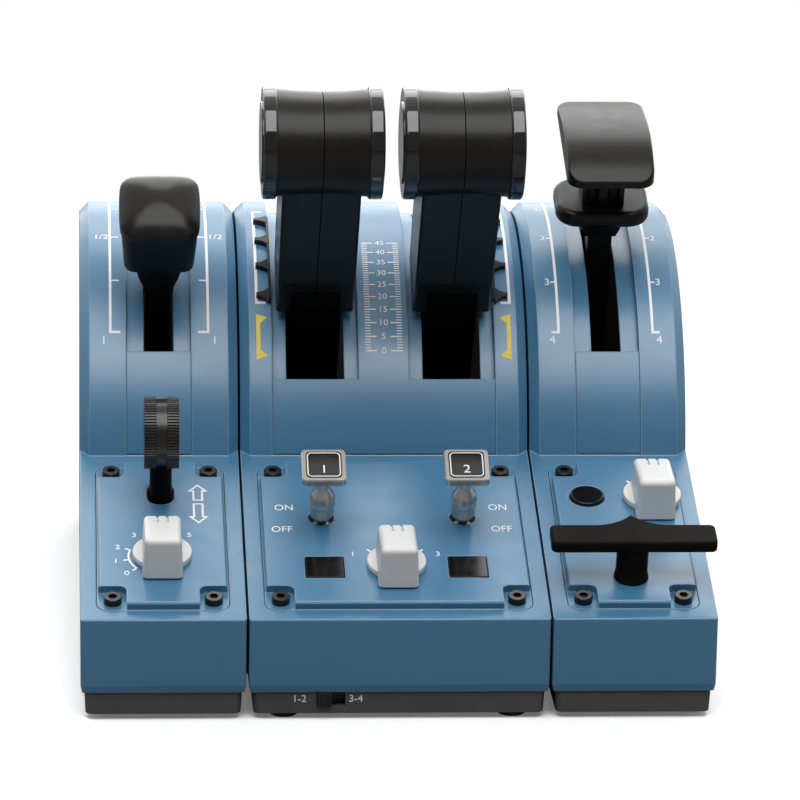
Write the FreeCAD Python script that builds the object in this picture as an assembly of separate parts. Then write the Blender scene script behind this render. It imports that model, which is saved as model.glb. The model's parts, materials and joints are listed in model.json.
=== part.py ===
import FreeCAD, Part
import math
import os
from FreeCAD import Placement, Rotation, Vector

# Desktop throttle quadrant: three modules side by side, millimetres, +Z up.
# Origin: centre of the footprint, on the surface the rubber feet stand on.
# +X runs to the right and +Y away from the user.

# ---------------------------------------------------------------- driving dimensions
SIDE_WIDTH = 63.0            # left and right modules
CENTRE_WIDTH = 115.0
MODULE_GAP = 1.0
REAR_REACH = 62.5            # lever axis to the rear face
FRONT_HEIGHT = 40.7          # top edge of the front face above the floor

PANEL_SLOPE = 15.55          # degrees
PANEL_LENGTH = 116.7         # along the slope, front edge to the foot of the drum
PANEL_WALL = 5.4
DRUM_RADIUS = 94.4
DRUM_FOOT_ANGLE = 9.6        # where the panel meets the drum, degrees above horizontal
DRUM_BEVEL = 3.8
REAR_FILLET = 12.0
HOUSING_WALL = 2.6
EDGE_ROUND = 0.9

FOOT_HEIGHT = 2.4            # foot below the tray
FOOT_SINK = 1.0              # foot inside its pocket
FOOT_RADIUS = 5.7
FOOT_SIDE_EDGE = 11.5        # foot centres to the edge of a side module
FOOT_CENTRE_EDGE = 13.7      # foot centres to the edge of the centre module
FOOT_FRONT_SIDE = 20.0       # foot centres from the front face
FOOT_FRONT_CENTRE = 9.6
FOOT_REAR = 20.5
TRAY_HEIGHT = 9.0
TRAY_INSET = 1.4
TRAY_DRAFT = 0.5
TRAY_WALL = 2.5
TRAY_FLOOR = 2.6
TRAY_CORNER = 3.0
SKIRT_HEIGHT = 3.0           # tapered band at the foot of the housing
SKIRT_INSET = 0.6
SKIRT_CORNER = 0.6

PLATE_MARGIN = 6.4           # control plate edge to the module's sides and front edge
PLATE_LENGTH = 101.3
PLATE_FLANGE = 2.4
PLATE_RAISE = 3.4            # pad above the housing surface
PLATE_SKIN = 2.5
PLATE_GROOVE = 0.4           # open groove round the plate
PLATE_CORNER = 4.5
PAD_BEVEL = 0.7
SCREW_POCKET_X = 11.2        # corner pockets that hold the screws
SCREW_POCKET_T = 12.0
SCREW_POCKET_ROUND = 3.2
SCREW_EDGE = 5.85            # screw axis to the plate's edges
SCREW_HEAD_RADIUS = 3.5
SCREW_HEAD_HEIGHT = 2.8
SCREW_RADIUS = 2.0
SCREW_DEPTH = 12.0
SCREW_SOCKET = 1.8
SCREW_SOCKET_DEPTH = 1.6
SCREW_PLAY = 0.25
THREAD_PLAY = 0.03
BOSS_RADIUS = 4.6
LEDGE = 3.6                  # ledge under the plate's flange
BASE_SCREW_RADIUS = 1.5
BASE_SCREW_HEAD = 3.2
BASE_SCREW_HEAD_HEIGHT = 1.2
BASE_SCREW_LENGTH = 16.0
BASE_BOSS_X = 9.2            # boss centre to the module's side
BASE_BOSS_Y = 9.4            # boss centre to the front and rear faces
BASE_BOSS_BACK = 22.0        # front bosses of the centre module, behind its feet
BOSS_WEB = 2.4               # web between a boss and the wall beside it

SCALE_FULL_ANGLE = 38.9      # side levers at the near end of their scales
SCALE_ZERO_ANGLE = 105.5     # side levers at the far end
THRUST_ZERO_ANGLE = 35.3
THRUST_TOP_ANGLE = 69.0
SIDE_CHANNEL_START = 35.3
CENTRE_CHANNEL_START = 28.3
CHANNEL_END = 122.6
INSERT_END = 126.0
CHANNEL_DEPTH = 4.5
TRACK_WALL = 2.4
TRACK_LIP = 3.0
TRACK_PLAY = 0.15
SIDE_TRACK_WIDTH = 25.7
SIDE_SLOT_WIDTH = 11.8
THRUST_CHANNEL_WIDTH = 34.4
THRUST_SLOT_WIDTH = 23.2
THRUST_PITCH = 54.8

COMB_CLAWS = 4               # claws of the detent combs beside the thrust tracks
COMB_FIRST_ANGLE = 50.3      # lowest claw
COMB_PITCH = 9.4
COMB_CLAW_HALF = 1.2         # half a claw, degrees
COMB_SCALLOP = 6.4           # round gaps between the claws
COMB_SCALLOP_OUT = 2.4       # their centres beyond the comb's outer edge
COMB_WIDTH = 5.6
COMB_HEIGHT = 2.4
COMB_GAP = 0.3

SHAFT_RADIUS = 4.0
SHAFT_PLAY = 0.05            # running fit of a hub on its shaft
SEAT_PLAY = 0.02
HUB_RADIUS = 15.0
SIDE_HUB_WIDTH = 18.0
WASHER_GAP = 0.1
COLLAR_RADIUS = 8.0
BRACKET_THICK = 5.0
BRACKET_TOP = 12.0
BRACKET_FOOT = 60.0
BRACKET_FLANGE = 3.0
BRACKET_FLANGE_WIDTH = 9.8
BRACKET_SIDE_GAP = 4.4       # bracket to the housing's inner wall
SHAFT_END_GAP = 1.6          # shaft end to the housing's inner wall

SIDE_ARM_WIDTH = 9.8
SIDE_ARM_DEPTH = 10.0
GRIP_LIFT = 1.6              # underside of the grips above the drum
GRIP_PLAY = 0.02             # arm in its grip

SPEED_BRAKE_ANGLE = 55.5
BRAKE_NECK_WIDTH = 12.2
BRAKE_NECK_DEPTH = 14.0
BRAKE_BOWL_WIDTH = 18.6       # neck where it meets the block
BRAKE_BOWL_RISE = 4.1         # foot of the bowl above the drum
BRAKE_BLOCK_RISE = 17.2       # foot of the block above the drum
BRAKE_BLOCK_HEIGHT = 24.6
BRAKE_BLOCK_WIDTH = 30.8
BRAKE_BLOCK_DEPTH = 26.0
BRAKE_BLOCK_TAPER = 1.5
BRAKE_BLOCK_ROUND = 4.5
BRAKE_CAP_WIDTH = 31.8
BRAKE_CAP_DEPTH = 34.0
BRAKE_CAP_EDGE = 4.2
BRAKE_CAP_CROWN = 9.6
BRAKE_CAP_ARCH = 70.0        # radius of the crown across the cap
BRAKE_CAP_ROUND = 7.6
BRAKE_CAP_BACK = 1.8         # rear edge shorter than the front
GRIP_COVER = 8.0             # grip above the end of its arm

FLAPS_ANGLE = 71.0
COLLAR_PLATE_RISE = 17.8      # middle of the collar above the drum
COLLAR_PLATE_WIDTH = 37.9
COLLAR_PLATE_DEPTH = 28.5
COLLAR_PLATE_THICK = 7.2
COLLAR_PLATE_CORNER = 9.0
FLAPS_SLEEVE_RISE = 5.6       # foot of the sleeve above the drum
FLAPS_SLEEVE_WALL = 1.3
FLAPS_SLEEVE_WIDTH = 20.0    # sleeve where it meets the collar
FLAPS_NECK_WIDTH = 17.0
FLAPS_NECK_DEPTH = 14.0
FLAPS_CAP_WIDTH = 34.8
FLAPS_CAP_LENGTH = 62.0
FLAPS_CAP_SHIFT = 1.0        # middle of the cap in front of the arm
FLAPS_CAP_RISE = 45.1         # underside of the cap's ends above the drum
FLAPS_CAP_CROWN = 10.1
FLAPS_CAP_EDGE = 2.8
FLAPS_CAP_ROUND = 6.2

THRUST_ANGLE = 54.2
THRUST_HEAD_RISE = 86.7       # centre of the grip above the drum
THRUST_BARREL_END = 21.0
THRUST_BARREL_WAIST = 20.0
THRUST_BARREL_WIDTH = 35.8
THRUST_RING_RADIUS = 22.0
THRUST_RING_WIDTH = 5.5
THRUST_RING_RECESS = 17.0
THRUST_RING_DEPTH = 3.4
THRUST_SHANK_WIDTH = 31.0
THRUST_SHANK_DEPTH = 34.0
THRUST_KNEE_RISE = 21.1       # below this height above the drum the shank narrows
THRUST_FOOT_DEPTH = 30.0
THRUST_SHELL_LIFT = 1.0
THRUST_RAMP_WIDTH = 19.6     # sunken ramp in the front of the shank's foot
THRUST_RAMP_HEIGHT = 16.0
THRUST_SEAM = 0.3
THRUST_LEG_PLAY = 0.4        # leg beside the slot's walls
THRUST_LEG_DEPTH = 16.0
THRUST_CORE_WIDTH = 15.0
THRUST_CORE_DEPTH = 14.0
DISCONNECT_RADIUS = 16.2
DISCONNECT_PROUD = 0.6       # button and inner end cap above the ring's face
DISCONNECT_STEM = 3.0
DISCONNECT_TRAVEL = 1.2

KNOB_DISC_RADIUS = 11.4
KNOB_DISC_THICK = 2.2
KNOB_LIFT = 0.4
KNOB_BLOCK_HEIGHT = 17.8
KNOB_BLOCK_FRONT = 16.9      # shaft axis to the front of the pointer block
KNOB_BLOCK_REAR = 9.4
KNOB_BLOCK_WIDTH = 15.5
KNOB_BLOCK_TAPER = 0.8
KNOB_BLOCK_FALL = 4.9        # rear of the block lower than its front
KNOB_ROUND = 2.0
KNOB_GROOVE = 1.0
KNOB_GROOVE_LENGTH = 8.0
KNOB_GROOVE_SPACING = 1.9
SELECTOR_SHAFT_RADIUS = 3.0
SELECTOR_SHAFT_LENGTH = 20.0
SELECTOR_HOLE_PLAY = 0.6
SELECTOR_BODY = 13.0
SELECTOR_BODY_HEIGHT = 9.0
LEFT_KNOB = (0.0, 39.0)      # across the module, up the slope
CENTRE_KNOB = (0.0, 32.3)
RIGHT_KNOB = (13.6, 79.9)

TOGGLE_EDGE = 23.45          # toggles and buttons to the sides of the centre plate
TOGGLE_T = 65.9
TOGGLE_LEAN = 13.5
TOGGLE_HOLE = 5.2
TOGGLE_PIVOT_DROP = 5.5      # pivot below the plate's surface
TOGGLE_HEIGHT = 30.8         # plate surface to the top of the head
TOGGLE_HEAD = 17.2
TOGGLE_HEAD_THICK = 2.9
TOGGLE_NECK = 2.4
TOGGLE_BODY_RADIUS = 4.7
TOGGLE_CONE_TOP = 4.4        # stations above the plate: end of the lower cone,
TOGGLE_BODY_TOP = 9.4        # of the straight body, of the bulb and of its shoulder
TOGGLE_BULB_TOP = 12.6
TOGGLE_SHOULDER_TOP = 18.4
TOGGLE_BULB_RADIUS = 5.1
TOGGLE_TRUNNION = 3.4
TOGGLE_TRUNNION_WIDTH = 6.0
PIVOT_PLAY = 0.08

GEAR_T = 83.9
GEAR_LEAN = 8.0
GEAR_SLOT_WIDTH = 10.9
GEAR_SLOT_LENGTH = 15.6
GEAR_SLOT_STEP = 0.8         # shallow step round the slot
GEAR_PIVOT_DROP = 9.4
GEAR_STEM_RADIUS = 4.35
GEAR_ARM_LENGTH = 41.4
GEAR_TRUNNION = 5.6
GEAR_TRUNNION_WIDTH = 9.4
GEAR_WHEEL_RADIUS = 13.95
GEAR_WHEEL_WIDTH = 13.4
GEAR_BAND_RADIUS = 13.3
GEAR_BAND_WIDTH = 4.2
GEAR_KNURLS = 72
GEAR_KNURL_DEPTH = 0.45

PUSH_T = 30.9
PUSH_WIDTH = 15.4            # openings of the rectangular buttons
PUSH_LENGTH = 15.1
PUSH_PLAY = 0.3
PUSH_FLANGE = 0.8
PUSH_TRAVEL = 1.5
PUSH_FRAME_DEPTH = 9.5
PUSH_FRAME_WALL = 0.9
ROUND_X = -12.0
ROUND_T = 81.0
ROUND_RADIUS = 7.1
ROUND_RING = 8.1
ROUND_PLAY = 0.35
ROUND_PROUD = 1.0

HANDLE_T = 23.7
HANDLE_LENGTH = 63.8
HANDLE_WIDTH = 13.2
HANDLE_THICK = 4.8
HANDLE_HEIGHT = 18.5         # underside of the bar above the housing surface
HANDLE_PEAK = 7.2            # pointed rise in the middle of the rear edge
HANDLE_PEAK_HALF = 14.0
HANDLE_STEM_RADIUS = 6.15
HANDLE_FLARE = 0.6
HANDLE_STUB_RADIUS = 4.0

SLIDE_X = -26.0              # middle of the slide switch's slot
SLIDE_SLOT_WIDTH = 11.0
SLIDE_SLOT_LOW = 5.2
SLIDE_KNOB_WIDTH = 5.4
SLIDE_PLAY = 0.3
SLIDE_PROUD = 1.2
SLIDE_RIDGES = 3
SLIDE_RIDGE_DEPTH = 0.5
SLIDE_CARRIAGE = 1.6

BOARD_THICK = 1.6
BOARD_POST = 3.0
BOARD_POST_RADIUS = 2.5
BOARD_MARGIN = 16.0
BOARD_LENGTH = 70.0
BOARD_START = 24.0
USB_WIDTH = 12.0
USB_HEIGHT = 11.0
USB_LENGTH = 16.0
USB_WALL = 1.75
USB_Z = 30.0
USB_TONGUE_BACK = 5.2
LINK_WIDTH = 28.0
LINK_LENGTH = 18.0
LINK_THICK = 1.6
LINK_SCREW = 8.0
LINK_STATION = 62.0          # joining plates from the front and rear faces

# ---------------------------------------------------------------- derived places
SLOPE = math.radians(PANEL_SLOPE)
FOOT_ANGLE = math.radians(DRUM_FOOT_ANGLE)
DEPTH = PANEL_LENGTH * math.cos(SLOPE) + DRUM_RADIUS * math.cos(FOOT_ANGLE) + REAR_REACH
FRONT_Y = -DEPTH / 2
REAR_Y = DEPTH / 2
AXIS_Y = FRONT_Y + PANEL_LENGTH * math.cos(SLOPE) + DRUM_RADIUS * math.cos(FOOT_ANGLE)
AXIS_Z = FRONT_HEIGHT + PANEL_LENGTH * math.sin(SLOPE) - DRUM_RADIUS * math.sin(FOOT_ANGLE)
TRAY_TOP = FOOT_HEIGHT + TRAY_HEIGHT
TRAY_FLOOR_TOP = FOOT_HEIGHT + TRAY_FLOOR
TRACK_BACK = DRUM_RADIUS - CHANNEL_DEPTH - TRACK_WALL
SIDE_OFFSET = CENTRE_WIDTH / 2 + MODULE_GAP + SIDE_WIDTH / 2
SKIN_UNDER = PLATE_RAISE - PLATE_SKIN
PLATE_END = PLATE_MARGIN + PLATE_LENGTH
TOGGLE_X = CENTRE_WIDTH / 2 - PLATE_MARGIN - TOGGLE_EDGE
PUSH_X = TOGGLE_X
# radii of the levers' grips, from the common axis
BRAKE_BOWL_LOW = DRUM_RADIUS + BRAKE_BOWL_RISE
BRAKE_BLOCK_LOW = DRUM_RADIUS + BRAKE_BLOCK_RISE
BRAKE_BLOCK_HIGH = BRAKE_BLOCK_LOW + BRAKE_BLOCK_HEIGHT
BRAKE_ARM_TOP = BRAKE_BLOCK_HIGH - GRIP_COVER
COLLAR_PLATE_RADIUS = DRUM_RADIUS + COLLAR_PLATE_RISE
FLAPS_SLEEVE_LOW = DRUM_RADIUS + FLAPS_SLEEVE_RISE
FLAPS_CAP_RADIUS = DRUM_RADIUS + FLAPS_CAP_RISE
FLAPS_ARM_TOP = FLAPS_CAP_RADIUS - GRIP_COVER
THRUST_HEAD_RADIUS = DRUM_RADIUS + THRUST_HEAD_RISE
THRUST_SHANK_KNEE = DRUM_RADIUS + THRUST_KNEE_RISE
MODULES = {
    "left": (-SIDE_OFFSET, SIDE_WIDTH),
    "centre": (0.0, CENTRE_WIDTH),
    "right": (SIDE_OFFSET, SIDE_WIDTH),
}


# ---------------------------------------------------------------- small tools
def box(x0, x1, y0, y1, z0, z1):
    return Part.makeBox(x1 - x0, y1 - y0, z1 - z0, Vector(x0, y0, z0))


def rod(radius, start, end):
    """Round bar between two points."""
    start = Vector(*start)
    along = Vector(*end) - start
    return Part.makeCylinder(radius, along.Length, start, along)


def fuse(shapes):
    return shapes[0].multiFuse(shapes[1:]).removeSplitter() if len(shapes) > 1 else shapes[0]


def cut(shape, tools):
    return shape.cut(Part.makeCompound(tools))


def extrude_profile(points, x0, x1):
    """Closed outline of (y, z) points, extruded along X."""
    corners = [Vector(x0, y, z) for y, z in points]
    face = Part.Face(Part.makePolygon(corners + corners[:1]))
    return face.extrude(Vector(x1 - x0, 0, 0))


def edges_where(shape, test):
    """Edges whose both ends pass the test."""
    return [e for e in shape.Edges if len(e.Vertexes) == 2 and all(test(v.Point) for v in e.Vertexes)]


def upright_edges(shape):
    found = []
    for edge in shape.Edges:
        a, b = edge.Vertexes[0].Point, edge.Vertexes[-1].Point
        if math.hypot(a.x - b.x, a.y - b.y) < 1e-6 and abs(a.z - b.z) > 1e-6:
            found.append(edge)
    return found


def rounded_box(x0, x1, y0, y1, z0, z1, radius):
    block = box(x0, x1, y0, y1, z0, z1)
    return block.makeFillet(radius, upright_edges(block))


def revolve(points):
    """Solid of revolution about Z from closed (radius, z) points."""
    corners = [Vector(r, 0, z) for r, z in points]
    face = Part.Face(Part.makePolygon(corners + corners[:1]))
    return face.revolve(Vector(0, 0, 0), Vector(0, 0, 1), 360)


def loft(low, high):
    """Solid between two rectangles given as (x0, x1, y0, y1, z)."""
    wires = []
    for x0, x1, y0, y1, z in (low, high):
        corners = [Vector(x0, y0, z), Vector(x1, y0, z), Vector(x1, y1, z), Vector(x0, y1, z)]
        wires.append(Part.makePolygon(corners + corners[:1]))
    return Part.makeLoft(wires, True, True)


def drum_point(radius, angle, x=0.0):
    turn = math.radians(angle)
    return Vector(x, AXIS_Y - radius * math.cos(turn), AXIS_Z + radius * math.sin(turn))


def sector(r0, r1, a0, a1, x0, x1):
    """Block of the drum between two radii, two angles and two stations along X."""
    mid = (a0 + a1) / 2
    outer = Part.Arc(drum_point(r1, a0, x0), drum_point(r1, mid, x0), drum_point(r1, a1, x0)).toShape()
    inner = Part.Arc(drum_point(r0, a1, x0), drum_point(r0, mid, x0), drum_point(r0, a0, x0)).toShape()
    end = Part.makeLine(drum_point(r1, a1, x0), drum_point(r0, a1, x0))
    start = Part.makeLine(drum_point(r0, a0, x0), drum_point(r1, a0, x0))
    return Part.Face(Part.Wire([outer, end, inner, start])).extrude(Vector(x1 - x0, 0, 0))


def on_panel(shape, module_x):
    """From panel coordinates (across, up the slope, above the surface) to the row's frame."""
    place = Placement(Vector(module_x, FRONT_Y, FRONT_HEIGHT), Rotation(Vector(1, 0, 0), PANEL_SLOPE))
    moved = shape.copy()
    moved.Placement = place.multiply(moved.Placement)
    return moved


def on_lever(shape, lever_x, angle):
    """From lever coordinates (across, backwards, outwards from the axis) to the row's frame."""
    place = Placement(Vector(lever_x, AXIS_Y, AXIS_Z), Rotation(Vector(1, 0, 0), 90 - angle))
    moved = shape.copy()
    moved.Placement = place.multiply(moved.Placement)
    return moved


def leaning(shape, x, t, drop, lean):
    """Stand a piece on a pivot below the plate, leaning towards the user."""
    place = Placement(Vector(x, t, PLATE_RAISE - drop), Rotation(Vector(1, 0, 0), lean))
    moved = shape.copy()
    moved.Placement = place.multiply(moved.Placement)
    return moved


# ---------------------------------------------------------------- housings
def housing_profile(front, panel, drum, rear, low, x0, x1):
    """Side outline of a housing with each face set in by its own wall, extruded along X."""
    front_y = FRONT_Y + front
    rear_y = REAR_Y - rear
    radius = DRUM_RADIUS - drum
    along = (math.cos(SLOPE), math.sin(SLOPE))
    start = (FRONT_Y + panel * math.sin(SLOPE), FRONT_HEIGHT - panel * math.cos(SLOPE))
    first = (front - panel * math.sin(SLOPE)) / along[0]
    to_axis = (start[0] - AXIS_Y, start[1] - AXIS_Z)
    half = to_axis[0] * along[0] + to_axis[1] * along[1]
    reach = -half - math.sqrt(half ** 2 - to_axis[0] ** 2 - to_axis[1] ** 2 + radius ** 2)
    foot = (start[0] + reach * along[0], start[1] + reach * along[1])
    foot_turn = math.degrees(math.atan2(foot[1] - AXIS_Z, AXIS_Y - foot[0]))
    rear_turn = 180 - math.degrees(math.acos((rear_y - AXIS_Y) / radius))
    corners = [
        Vector(x0, front_y, low),
        Vector(x0, front_y, start[1] + first * along[1]),
        drum_point(radius, foot_turn, x0),
        drum_point(radius, rear_turn, x0),
        Vector(x0, rear_y, low),
    ]
    arch = Part.Arc(corners[2], drum_point(radius, (foot_turn + rear_turn) / 2, x0), corners[3])
    edges = [
        Part.makeLine(corners[0], corners[1]),
        Part.makeLine(corners[1], corners[2]),
        arch.toShape(),
        Part.makeLine(corners[3], corners[4]),
        Part.makeLine(corners[4], corners[0]),
    ]
    return Part.Face(Part.Wire(edges)).extrude(Vector(x1 - x0, 0, 0))


def is_drum_edge(edge):
    return (edge.Curve.TypeId == "Part::GeomCircle"
            and abs(edge.Curve.Radius - DRUM_RADIUS) < 0.01
            and edge.Length > DRUM_RADIUS / 2)


def skirt_outline(half, inset, z):
    """Plan outline of a housing with its front and rear corners taken off."""
    w, f, r = half - inset, FRONT_Y + inset, REAR_Y - inset
    a, b = SKIRT_CORNER, DRUM_BEVEL
    points = [(-w + a, f), (w - a, f), (w, f + a), (w, r - b), (w - b, r), (-w + b, r), (-w, r - b), (-w, f + a)]
    corners = [Vector(x, y, z) for x, y in points]
    return Part.makePolygon(corners + corners[:1])


def housing_body(width):
    """Outer form: tapered skirt, front face, panel, bevelled drum and rounded rear edge."""
    half = width / 2
    skirt_top = TRAY_TOP + SKIRT_HEIGHT
    body = housing_profile(0, 0, 0, 0, skirt_top, -half, half)
    rear = edges_where(body, lambda p: abs(p.y - REAR_Y) < 0.01 and p.z > AXIS_Z)
    body = body.makeFillet(REAR_FILLET, rear)
    body = body.makeChamfer(DRUM_BEVEL, [e for e in body.Edges if is_drum_edge(e)])
    front = edges_where(body, lambda p: abs(p.y - FRONT_Y) < 0.01 and p.z > skirt_top - 0.01)
    front = [e for e in front if e.BoundBox.ZMax > skirt_top + 0.01]
    body = body.makeFillet(EDGE_ROUND, front)
    skirt = Part.makeLoft([skirt_outline(half, SKIRT_INSET, TRAY_TOP), skirt_outline(half, 0, skirt_top)], True, True)
    return fuse([body, skirt])


def plate_outline(width, grow, low, high):
    """Block under the control plate's outline, larger all round by grow."""
    half = width / 2 - PLATE_MARGIN + grow
    return rounded_box(-half, half, PLATE_MARGIN - grow, PLATE_END + grow, low, high, PLATE_CORNER + grow)


def plate_opening(width, grow, low, high):
    """Cross-shaped opening inside the ledge; its corners stay solid for the screws."""
    half = width / 2 - PLATE_MARGIN + grow
    wide = box(-half + LEDGE, half - LEDGE, PLATE_MARGIN + SCREW_POCKET_T, PLATE_END - SCREW_POCKET_T, low, high)
    inner = half - SCREW_POCKET_X - EDGE_ROUND
    tall = box(-inner, inner, PLATE_MARGIN + LEDGE, PLATE_END - LEDGE, low, high)
    return fuse([wide, tall])


def screw_places(width):
    across = width / 2 - PLATE_MARGIN - SCREW_EDGE
    return [(sx * across, t) for sx in (-1, 1) for t in (PLATE_MARGIN + SCREW_EDGE, PLATE_END - SCREW_EDGE)]


def base_boss_places(width):
    across = width / 2 - BASE_BOSS_X
    front = BASE_BOSS_BACK if width == CENTRE_WIDTH else BASE_BOSS_Y
    return [(sx * across, y) for sx in (-1, 1) for y in (FRONT_Y + front, REAR_Y - BASE_BOSS_Y)]


def housing(name):
    module_x, width = MODULES[name]
    half = width / 2
    body = housing_body(width)
    inner = half - HOUSING_WALL
    cavity = housing_profile(HOUSING_WALL, PANEL_WALL, HOUSING_WALL, HOUSING_WALL, 0, -inner, inner)
    shell = body.cut(cavity)
    bosses = [rod(BOSS_RADIUS, (x, y, TRAY_FLOOR_TOP), (x, y, AXIS_Z)) for x, y in base_boss_places(width)]
    for x, y in base_boss_places(width):
        wall_x = math.copysign(half - 1, x)
        bosses.append(box(min(x, wall_x), max(x, wall_x), y - BOSS_WEB / 2, y + BOSS_WEB / 2, TRAY_TOP, AXIS_Z))
    reach = SCREW_DEPTH + 2
    for x, t in screw_places(width):
        bosses.append(on_panel(rod(BOSS_RADIUS, (x, t, -reach), (x, t, -PLATE_FLANGE)), 0))
    envelope = housing_profile(EDGE_ROUND, EDGE_ROUND, EDGE_ROUND, EDGE_ROUND, 0, -half + 1, half - 1)
    shell = fuse([shell] + [boss.common(envelope) for boss in bosses])
    tools = [on_panel(plate_outline(width, PLATE_GROOVE, -PLATE_FLANGE, PLATE_RAISE), 0),
             on_panel(plate_opening(width, 0, -PANEL_WALL - 1, 0), 0)]
    for x, t in screw_places(width):
        tools.append(on_panel(rod(SCREW_RADIUS + THREAD_PLAY, (x, t, -SCREW_DEPTH - 1), (x, t, 0)), 0))
    for x, y in base_boss_places(width):
        top = FOOT_HEIGHT + BASE_SCREW_LENGTH + 1
        tools.append(rod(BASE_SCREW_RADIUS + THREAD_PLAY, (x, y, 0), (x, y, top)))
    track = track_half_width(name) + TRACK_PLAY
    tools.append(sector(TRACK_BACK, DRUM_RADIUS + 5, DRUM_FOOT_ANGLE + 0.2, INSERT_END + 0.2, -track, track))
    if name == "centre":
        w, h = USB_WIDTH / 2 + SEAT_PLAY, USB_HEIGHT / 2 + SEAT_PLAY
        tools.append(box(-w, w, REAR_Y - USB_LENGTH, REAR_Y + 1, USB_Z - h, USB_Z + h))
    shell = cut(shell, tools)
    shell.translate(Vector(module_x, 0, 0))
    return shell


# ---------------------------------------------------------------- base trays
def feet_places(name):
    _, width = MODULES[name]
    across = width / 2 - (FOOT_CENTRE_EDGE if name == "centre" else FOOT_SIDE_EDGE)
    front = FOOT_FRONT_CENTRE if name == "centre" else FOOT_FRONT_SIDE
    return [(sx * across, y) for sx in (-1, 1) for y in (FRONT_Y + front, REAR_Y - FOOT_REAR)]


def board_box(name):
    _, width = MODULES[name]
    half = width / 2 - BOARD_MARGIN
    return -half, half, FRONT_Y + BOARD_START, FRONT_Y + BOARD_START + BOARD_LENGTH


def link_places():
    """Middle of each joining plate: between two modules, at two stations from the front."""
    edge = CENTRE_WIDTH / 2 + MODULE_GAP / 2
    return [(side * edge, y) for side in (-1, 1) for y in (FRONT_Y + LINK_STATION, REAR_Y - LINK_STATION)]


def base_tray(name):
    module_x, width = MODULES[name]
    half = width / 2 - TRAY_INSET
    front, rear = FRONT_Y + TRAY_INSET, REAR_Y - TRAY_INSET
    low = TRAY_DRAFT
    tray = loft((-half + low, half - low, front + low, rear - low, FOOT_HEIGHT),
                (-half, half, front, rear, TRAY_TOP))
    corners = [e for e in tray.Edges
               if e.BoundBox.ZMin < FOOT_HEIGHT + 0.1 and e.BoundBox.ZMax > TRAY_TOP - 0.1]
    tray = tray.makeFillet(TRAY_CORNER, corners)
    wall = TRAY_WALL + low
    tray = tray.cut(box(-half + wall, half - wall, front + wall, rear - wall, TRAY_FLOOR_TOP, TRAY_TOP + 1))
    x0, x1, y0, y1 = board_box(name)
    inset = BOARD_POST_RADIUS + 1
    posts = [rod(BOARD_POST_RADIUS, (x, y, TRAY_FLOOR_TOP - 1), (x, y, TRAY_FLOOR_TOP + BOARD_POST))
             for x in (x0 + inset, x1 - inset) for y in (y0 + inset, y1 - inset)]
    tray = fuse([tray] + posts)
    tools = [rod(FOOT_RADIUS + THREAD_PLAY, (x, y, 0), (x, y, FOOT_HEIGHT + FOOT_SINK))
             for x, y in feet_places(name)]
    for x, y in base_boss_places(width):
        tools.append(rod(BASE_SCREW_HEAD + SCREW_PLAY, (x, y, 0), (x, y, FOOT_HEIGHT + BASE_SCREW_HEAD_HEIGHT)))
        tools.append(rod(BASE_SCREW_RADIUS + SCREW_PLAY, (x, y, 0), (x, y, TRAY_TOP)))
    for x, y in link_places():
        for side in (-1, 1):
            hole_x = x + side * LINK_SCREW - module_x
            if abs(hole_x) < half:
                tools.append(rod(BASE_SCREW_RADIUS + THREAD_PLAY, (hole_x, y, 0), (hole_x, y, TRAY_TOP)))
    if name == "centre":
        w = SLIDE_SLOT_WIDTH / 2
        tools.append(box(SLIDE_X - w, SLIDE_X + w, front - 1, front + 2 * wall, SLIDE_SLOT_LOW, TRAY_TOP + 1))
    tray = cut(tray, tools)
    tray.translate(Vector(module_x, 0, 0))
    return tray


def rubber_feet():
    feet = []
    for name, (module_x, _) in MODULES.items():
        for x, y in feet_places(name):
            foot = rod(FOOT_RADIUS, (module_x + x, y, 0), (module_x + x, y, FOOT_HEIGHT + FOOT_SINK))
            rim = [e for e in foot.Edges if e.BoundBox.ZMax < 0.01]
            feet.append(foot.makeChamfer(FOOT_SINK / 2, rim))
    return Part.makeCompound(feet)


def base_screws():
    screws = []
    for module_x, width in MODULES.values():
        for x, y in base_boss_places(width):
            head_top = FOOT_HEIGHT + BASE_SCREW_HEAD_HEIGHT
            head = rod(BASE_SCREW_HEAD, (module_x + x, y, FOOT_HEIGHT + THREAD_PLAY), (module_x + x, y, head_top))
            shank = rod(BASE_SCREW_RADIUS, (module_x + x, y, FOOT_HEIGHT + 1),
                        (module_x + x, y, FOOT_HEIGHT + BASE_SCREW_LENGTH))
            screws.append(fuse([head, shank]))
    return Part.makeCompound(screws)


def link_plates():
    """Steel plates that join the modules from below, each with its two screws."""
    pieces = []
    low = FOOT_HEIGHT - LINK_THICK
    for x, y in link_places():
        plate = rounded_box(x - LINK_WIDTH / 2, x + LINK_WIDTH / 2, y - LINK_LENGTH / 2, y + LINK_LENGTH / 2,
                            low, FOOT_HEIGHT, TRAY_CORNER)
        for side in (-1, 1):
            sx = x + side * LINK_SCREW
            plate = plate.cut(rod(BASE_SCREW_RADIUS + SCREW_PLAY, (sx, y, 0), (sx, y, FOOT_HEIGHT)))
            head = rod(BASE_SCREW_HEAD, (sx, y, low - FOOT_SINK / 2), (sx, y, low))
            pieces.append(fuse([head, rod(BASE_SCREW_RADIUS, (sx, y, low - FOOT_SINK / 4), (sx, y, TRAY_FLOOR_TOP))]))
        pieces.append(plate)
    return Part.makeCompound(pieces)


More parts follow.
